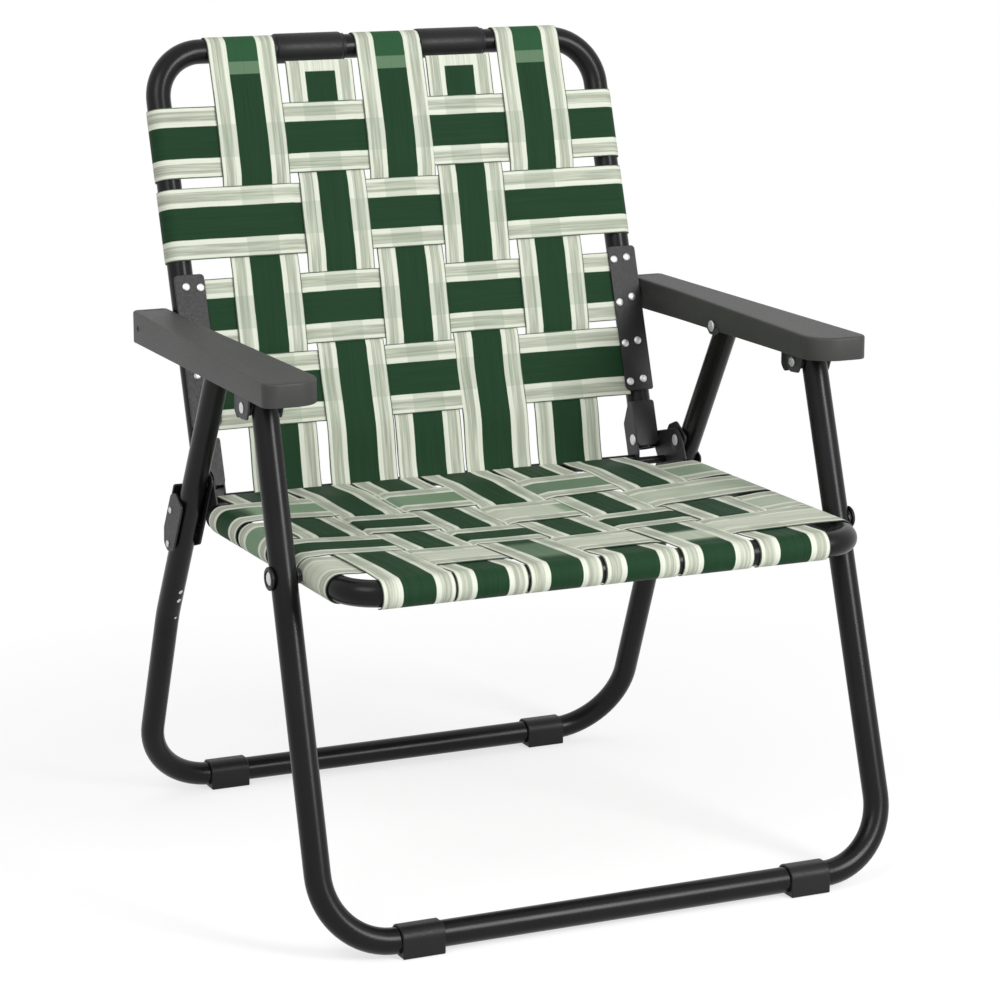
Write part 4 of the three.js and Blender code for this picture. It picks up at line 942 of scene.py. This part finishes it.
ARM_FRONT, ARM_REAR, ARM_TRIM = 84.0, 497.0, 0.2
ARM_INNER_FRONT, ARM_INNER_REAR, ARM_INNER_KNEE_Y = 252.2, 260.6, 385
ARM_OUTER_FRONT, ARM_OUTER_REAR = 311.8, 297.8
ARM_UNDER, ARM_UNDER_RISE = 495, 4
ARM_TOP, ARM_TOP_DROP = 527, 5.5
ARM_EDGE, ARM_EDGE_STEPS = 2.4, 6
ARM_TOP_INSET = 9.0
arm_outline = rounded_outline(
    [
        (ARM_INNER_REAR, ARM_REAR - ARM_TRIM),
        (ARM_INNER_REAR, ARM_INNER_KNEE_Y),
        (ARM_INNER_FRONT, ARM_FRONT + ARM_TRIM),
        (ARM_OUTER_FRONT, ARM_FRONT + ARM_TRIM),
        (ARM_OUTER_REAR, ARM_REAR - ARM_TRIM),
    ],
    [6, 150, 33, 12, 7],
    14,
)


def from_rear(y):
    """How far a place on the armrest is from its rear end, as a share of its length."""
    return (ARM_REAR - y) / (ARM_REAR - ARM_FRONT)


def arm_under(y):
    return ARM_UNDER + ARM_UNDER_RISE * from_rear(y)


def arm_top(y):
    return ARM_TOP - ARM_TOP_DROP * from_rear(y)


def arm_ring(inset, level, rise):
    flat = inset_outline(arm_outline, inset) if inset else arm_outline
    return np.array([(x, y, level(y) + rise) for x, y in flat])


# The hollow's ceiling, its wall and the rim around it, as (inset, level, rise)
arm_rings = [
    arm_ring(2.9, arm_top, -4.9),
    arm_ring(2.4, arm_under, 1.2),
    arm_ring(2.1, arm_under, 0.3),
    arm_ring(1.6, arm_under, 0.0),
    arm_ring(0.7, arm_under, 0.0),
    arm_ring(0.2, arm_under, 0.3),
    arm_ring(0.0, arm_under, 0.9),
]
for step in range(ARM_EDGE_STEPS + 1):
    a = math.pi / 2 * step / ARM_EDGE_STEPS
    arm_rings.append(arm_ring(ARM_EDGE * (1 - math.cos(a)), arm_top, ARM_EDGE * (math.sin(a) - 1)))
arm_rings.append(arm_ring(ARM_TOP_INSET, arm_top, 0.0))

# Lugs inside the armrest, which hold the pins of the legs
FRONT_LUG_X, REAR_LUG_X = ((270.4, 272.6), (303.4, 305.6)), (256.6, 259.0)
front_lug = rounded_outline(
    [(139, 518), (146, 486), (150, 477), (166, 476), (172, 483), (176, 498), (182, 518)], 4
)
rear_lug = rounded_outline(
    [(288, 500), (294, 495), (299, 492.5), (308, 492.5), (312, 496), (318, 500)], 3
)
lugs = [slab(front_lug, *x) for x in FRONT_LUG_X] + [slab(rear_lug, *REAR_LUG_X)]
pair("armrest", Shape(loft(arm_rings), *lugs), ARM_PLASTIC, "armrests")

# Leg brackets: two ears, a top plate and a front wall

LEG_TOP, LEG_TOP_THICK = 497.7, 2.1
LEG_IN, LEG_OUT, LEG_EAR_THICK = 272.95, 303.05, 2.15
LEG_FRONT, LEG_BACK, LEG_WALL = 146.4, 188.2, 1.6
LEG_EAR_TOP, LEG_WALL_TOP, LEG_WALL_LOW = LEG_TOP - 0.1, LEG_TOP - 0.2, 486.5
leg_ear = rounded_outline(
    [
        (LEG_FRONT, LEG_EAR_TOP), (LEG_FRONT, 482), (182, 473.8),
        (LEG_BACK, 480), (LEG_BACK, LEG_EAR_TOP),
    ],
    [1, 5, 4, 5, 1],
)
leg_plate = rounded_outline(box_outline((LEG_IN, LEG_FRONT), (LEG_OUT, LEG_BACK)), 2)
leg_wall = rounded_outline(
    box_outline((LEG_IN, LEG_WALL_LOW), (LEG_OUT, LEG_WALL_TOP)), [4, 4, 1, 1]
)
leg_bracket = Shape(
    slab(leg_ear, LEG_IN, LEG_IN + LEG_EAR_THICK),
    slab(leg_ear, LEG_OUT - LEG_EAR_THICK, LEG_OUT),
    slab(leg_plate, LEG_TOP - LEG_TOP_THICK, LEG_TOP, axes=(X_AXIS, Y_AXIS, Z_AXIS)),
    slab(leg_wall, LEG_FRONT, LEG_FRONT + LEG_WALL, axes=(X_AXIS, Z_AXIS, Y_AXIS)),
)
pair("front_leg_bracket", leg_bracket, CAP_PLASTIC, "front_legs")

# Side plates and their rivets, flat to the back

PLATE_LOW = TUBE + 0.3
PLATE_TOP = PLATE_LOW + PLATE_THICK
SIDE_IN, SIDE_OUT, SIDE_FOOT, SIDE_HEAD = 226.1, 257.9, 31.2, 186
RIVET_HEAD, RIVET_BASE = (4.1, 2.0), 0.2
rivet_spots = [
    (231.5, 172), (246.5, 173.5), (231.5, 126), (246.5, 131),
    (231.5, 82), (246.5, 84), (231.5, 41), (247, 43),
]


def back_slab(outline):
    """A plate on the back's front face, by an outline in (x, distance up the back)."""
    return slab(outline, PLATE_LOW, PLATE_TOP, PLATE_EDGE, BACK_ORIGIN, (X_AXIS, BACK_UP, BACK_FRONT))


side_plate = rounded_outline(box_outline((SIDE_IN, SIDE_FOOT), (SIDE_OUT, SIDE_HEAD)), [7, 3, 4, 4])
pair("back_side_plate", Shape(back_slab(side_plate)), PLATE, "back")

rivet_head = dome(*RIVET_HEAD, RIVET_BASE)
rivets = [turned(rivet_head, back_point(x, up, PLATE_TOP), BACK_FRONT) for x, up in rivet_spots]
pair("side_plate_rivets", Shape(*rivets), RIVET, "back", replaced=False)

# Lower brackets: an ear beside each upright's foot and a plate across it

EAR_X, EAR_REACH, EAR_BACK = 230.7, 12.8, -TUBE
MOUTH_LOW, MOUTH_HIGH, MOUTH_IN, MOUTH_OUT = -28, 20, EAR_X + 0.1, 256
ear = rounded_outline(
    [(-47, EAR_BACK), (-47, 9), (-34, EAR_REACH), (20, EAR_REACH), (20, 4), (0, EAR_BACK)],
    [8, 8, 5, 1, 3, 5],
)
mouth = rounded_outline(box_outline((MOUTH_IN, MOUTH_LOW), (MOUTH_OUT, MOUTH_HIGH)), [5, 8, 3, 3])
ear_axes = (BACK_UP, BACK_FRONT, X_AXIS)
ear_slab = slab(ear, EAR_X, EAR_X + PLATE_THICK, PLATE_EDGE, BACK_ORIGIN, ear_axes)
pair("back_lower_bracket", Shape(ear_slab, back_slab(mouth)), PLATE, "back")

# Grips, by (radius, place) from one end towards the middle

GRIP_START, GRIP_LENGTH, GRIP_SIDES = 39.1, 79.8, 44
half_grip = [
    (12.9, 0.0), (13.4, 0.0), (13.8, 0.4), (13.8, 3.4),
    (14.5, 3.7), (15.1, 4.4), (15.4, 5.6), (15.4, 22.0),
]
grip_profile = half_grip + [(radius, GRIP_LENGTH - place) for radius, place in reversed(half_grip)]
circle = unit_circle(BACK_UP, BACK_FRONT, GRIP_SIDES)
grip_rings = [
    back_point(GRIP_START + place, BACK_TOP, 0) + radius * circle for radius, place in grip_profile
]
pair("top_grip", sleeve(grip_rings), CAP_PLASTIC, "back")

# Seat rear brackets: a block at the rail's end, a plate outside it, a thin disc at the saddle pin

RAIL_END, RAIL_UNDER, RAIL_TOP = 360.4, 326.6, 351.4
SEAT_PLATE_X = 258.4
BLOCK_X, BLOCK_END, BLOCK_EDGE = 247.0, RAIL_END + 12, 1.0
block = rounded_outline(
    [
        (RAIL_END, RAIL_UNDER), (BLOCK_END, RAIL_UNDER), (BLOCK_END, 346),
        (366, RAIL_TOP), (RAIL_END, RAIL_TOP),
    ],
    [1, 4, 5, 4, 1],
)
rear_plate = rounded_outline(
    [
        (RAIL_END, RAIL_UNDER), (404, 330), (418, 335), (432.6, 355), (433.6, 364),
        (425, 370.6), (395, 378), (382, 381), (369.6, 372), (RAIL_END, RAIL_TOP),
    ],
    [2, 8, 6, 6, 5, 6, 6, 10, 8, 2],
)
disc = [(11.6, -0.25), (12.4, -0.05), (12.4, 0.2)]
bracket = Shape(
    slab(rear_plate, SEAT_PLATE_X, SEAT_PLATE_X + PLATE_THICK),
    slab(block, BLOCK_X, SEAT_PLATE_X + PLATE_EDGE, BLOCK_EDGE),
    turned(disc, (SEAT_PLATE_X, *PIVOT_E), X_AXIS, FINE_SIDES),
)
pair("seat_rear_bracket", bracket, PLATE, "seat")

# Saddles: two flanges and a bridge, by (distance down the rear leg, distance behind it)

SADDLE_IN, SADDLE_OUT = 260.8, 289.6
SADDLE_LIP = -12.8
BRIDGE_BACK, BRIDGE_THICK = 18.9, 2.7
saddle_at = np.array((0, *PIVOT_E))
inner_flange = [
    (-13.8, SADDLE_LIP), (-13.8, 14), (0, 24.8), (70, 24.8), (83.8, 15), (83.8, 0), (70, SADDLE_LIP),
]
outer_flange = [
    (18, SADDLE_LIP), (18, 10), (29, 19.8), (72, 19.8), (87, 12), (87, 0), (76, SADDLE_LIP),
]
bridge = rounded_outline(box_outline((261.5, 14), (289, 69)), 2)


def flange(outline, x):
    flat = rounded_outline(outline, 6)
    return slab(flat, x, x + PLATE_THICK, PLATE_EDGE, saddle_at, (rear_down, rear_behind, X_AXIS))


bridge_axes = (X_AXIS, rear_down, rear_behind)
bridge_front = BRIDGE_BACK - BRIDGE_THICK
saddle = Shape(
    flange(inner_flange, SADDLE_IN),
    flange(outer_flange, SADDLE_OUT - PLATE_THICK),
    slab(bridge, bridge_front, BRIDGE_BACK, PLATE_EDGE, saddle_at, bridge_axes),
)
pair("rear_leg_saddle", saddle, PLATE, "rear_saddles")

SADDLE_RIVET_HEAD = (3.4, 1.6)
saddle_rivets = []
for down, behind in ((43, 12), (79, 2)):
    spot = saddle_at + rear_down * down + rear_behind * behind + X_AXIS * SADDLE_OUT
    saddle_rivets.append(turned(dome(*SADDLE_RIVET_HEAD, RIVET_BASE), spot, X_AXIS))
pair("saddle_rivets", Shape(*saddle_rivets), RIVET, "rear_saddles", replaced=False)

# Three pale chips on the left rear leg, by distance down it and radius

CHIP_TURN = math.radians(-20)
CHIP_SINK = 0.35
chip_axis = turned_about(-rear_behind, rear_down, CHIP_TURN)
chips = []
for distance, radius in ((291, 2.4), (303, 2.4), (327, 1.5)):
    spot = rear_point(-REAR_X, distance) + chip_axis * (REAR_TUBE - CHIP_SINK)
    profile = [(radius, 0.0), (radius, 0.4), (radius * 0.8, 0.7), (radius * 0.2, 0.75)]
    chips.append(turned(profile, spot, chip_axis))
piece("leg_chips", Shape(*chips), RIVET, "rear_legs")

# A plug in each armrest's outer face

PLUG_AT = (298.5, 477, 511)
plug_profile = [(2.8, -0.6), (2.8, 0.3), (2.4, 0.6), (1.0, 0.6), (0.8, 0.1)]
plug = Shape(turned(plug_profile, PLUG_AT, X_AXIS))
pair("arm_plug", plug, CAP_PLASTIC, "armrests", replaced=False)

# Pins

HEAD_BASE, HEAD_SKIRT = 0.15, 0.1
SHAFT_TRIM = 0.05


def pin(name, body, pivot, x0, x1, radius, inner, outer):
    """A set pin along X: inner and outer are (radius, height) of its heads."""
    inner_head = reversed(dome(*inner, HEAD_BASE, HEAD_SKIRT))
    profile = [(r, x0 - h) for r, h in inner_head]
    profile += [(radius, x0 + SHAFT_TRIM), (radius, x1 - SHAFT_TRIM)]
    profile += [(r, x1 + h) for r, h in dome(*outer, HEAD_BASE, HEAD_SKIRT)]
    pair(name, Shape(turned(profile, (0, *pivot), X_AXIS)), RIVET, body)


pin("seat_pivot_pin", "front_legs", PIVOT_D, 246.6, 302.3, 4, (5, 0.5), (7.0, 3.0))

# The seat pivot's dark ring outside the leg, and the spacer between the leg and the rail
RING_X, SPACER_X = 302.4, 273.8
ring_profile = [
    (4.4, 0.0), (10.6, 0.0), (11, 0.5), (11, 1.8), (10.2, 2.6),
    (7.8, 2.8), (7.2, 2.2), (6.8, 1.0), (4.4, 1.0),
]
spacer_profile = [(6.4, 0.0), (7.0, 0.4), (7.0, 4.6), (6.4, 5.0)]
for name, x, profile in (("ring", RING_X, ring_profile), ("spacer", SPACER_X, spacer_profile)):
    shape = Shape(turned(profile, (x, *PIVOT_D), X_AXIS, FINE_SIDES))
    pair(f"seat_pivot_{name}", shape, CAP_PLASTIC, "front_legs", replaced=False)

pin("back_hinge_pin", "seat", PIVOT_F, 230.7, 260.1, 3.5, (5.8, 1.9), (3.6, 0.3))
pin("saddle_pin", "seat", PIVOT_E, 257.4, 262.5, 3.5, (5.9, 0.9), (3.6, 0.3))
pin("arm_front_pin", "armrests", PIVOT_C, 270.1, 305.9, 3, (5.2, 1.9), (5.2, 0.9))
pin("arm_rear_leg_pin", "armrests", PIVOT_B, 256.3, 287.5, 3, (5.6, 1.9), (5.6, 0.9))
pin("arm_back_pin", "armrests", PIVOT_A, 252.2, 263.2, 3, (3.1, 0.3), (5.8, 1.9))

# Light, floor, camera

WORLD_LIGHT = 0.58
FLOOR_HALF, FLOOR_Z = 9, -0.0006
PAPER_GLOW, PAPER_GREY, PAPER_BOUNCE = 0.66, 0.4, 0.72
PAPER_FADE = (0.55, 1.0)


def seen_directly(nodes, links):
    """1 for rays from the camera, from a gloss or through something clear, else 0."""
    rays = node(nodes, "ShaderNodeLightPath")
    seen = rays.outputs["Is Camera Ray"]
    for other in ("Is Glossy Ray", "Is Transmission Ray"):
        either = node(nodes, "ShaderNodeMath", operation="MAXIMUM")
        links.new(seen, either.inputs[0])
        links.new(rays.outputs[other], either.inputs[1])
        seen = either.outputs[0]
    return seen


def joined(nodes, links, kind, *sources):
    """A node that adds or mixes shaders, with its sources in the order of its inputs."""
    n = node(nodes, kind)
    for socket, source in zip(n.inputs, sources):
        links.new(source, socket)
    return n.outputs[0]


def shader(nodes, kind, shade, **values):
    return node(nodes, kind, in_Color=rgba(shade), **values).outputs[0]


world = bpy.data.worlds.new("studio")
world.use_nodes = True
bpy.context.scene.world = world
nodes, links = world.node_tree.nodes, world.node_tree.links
soft_light = shader(nodes, "ShaderNodeBackground", 1, in_Strength=WORLD_LIGHT)
white = shader(nodes, "ShaderNodeBackground", 1, in_Strength=1.0)
seen = seen_directly(nodes, links)
surface = joined(nodes, links, "ShaderNodeMixShader", seen, soft_light, white)
links.new(surface, nodes["World Output"].inputs["Surface"])

floor_mesh = bpy.data.meshes.new("floor")
floor_corners = [(x, y, FLOOR_Z) for x, y in box_outline((-FLOOR_HALF,) * 2, (FLOOR_HALF,) * 2)]
floor_mesh.from_pydata(floor_corners, [], [(0, 1, 2, 3)])
floor = bpy.data.objects.new("floor", floor_mesh)
bpy.context.scene.collection.objects.link(floor)

# The paper is white to the eye, with soft shadows near the chair and none far from it
paper, nodes, links, unused = material("paper")
nodes.remove(unused)
glow = shader(nodes, "ShaderNodeEmission", 1, in_Strength=PAPER_GLOW)
flat = shader(nodes, "ShaderNodeBsdfDiffuse", PAPER_GREY)
near = joined(nodes, links, "ShaderNodeAddShader", glow, flat)
far = shader(nodes, "ShaderNodeEmission", 1, in_Strength=1.0)
distance = node(nodes, "ShaderNodeVectorMath", operation="LENGTH")
links.new(node(nodes, "ShaderNodeTexCoord").outputs["Object"], distance.inputs[0])
fading = share(nodes, links, distance.outputs["Value"], *PAPER_FADE)
visible = joined(nodes, links, "ShaderNodeMixShader", fading, near, far)
bounce = shader(nodes, "ShaderNodeBsdfDiffuse", PAPER_BOUNCE)
seen = seen_directly(nodes, links)
surface = joined(nodes, links, "ShaderNodeMixShader", seen, bounce, visible)
links.new(surface, nodes["Material Output"].inputs["Surface"])
floor_mesh.materials.append(paper)

CHAIR_MIDDLE = (0, 0, 0.4)


def area_light(name, place, size, power, size_y=None):
    """A lamp aimed at the middle of the chair, square or size by size_y. Lengths in metres."""
    data = bpy.data.lights.new(name, "AREA")
    data.energy = power
    data.size = size
    if size_y:
        data.shape = "RECTANGLE"
        data.size_y = size_y
    lamp = bpy.data.objects.new(name, data)
    bpy.context.scene.collection.objects.link(lamp)
    lamp.location = place
    lamp.rotation_euler = (Vector(CHAIR_MIDDLE) - Vector(place)).to_track_quat("-Z", "Y").to_euler()


area_light("key", (-1.6, -1.3, 2.2), 1.2, 20)
area_light("softbox", (1.05, -2.3, 1.45), 0.7, 48, 1.2)

# The photo's view, fitted to the tube frames
CAMERA_AT, CAMERA_DOWN, CAMERA_TURN = (-1341.12, -2657.21, 1066.51), 12.54, -24.68
camera_data = bpy.data.cameras.new("camera")
camera = bpy.data.objects.new("camera", camera_data)
bpy.context.scene.collection.objects.link(camera)
camera_data.sensor_width = 36
camera_data.lens = 120.12
camera_data.clip_end = 50
camera.location = at(CAMERA_AT)[0]
camera.rotation_euler = (math.radians(90 - CAMERA_DOWN), 0, math.radians(CAMERA_TURN))
bpy.context.scene.camera = camera
bpy.context.scene.view_settings.view_transform = "Standard"
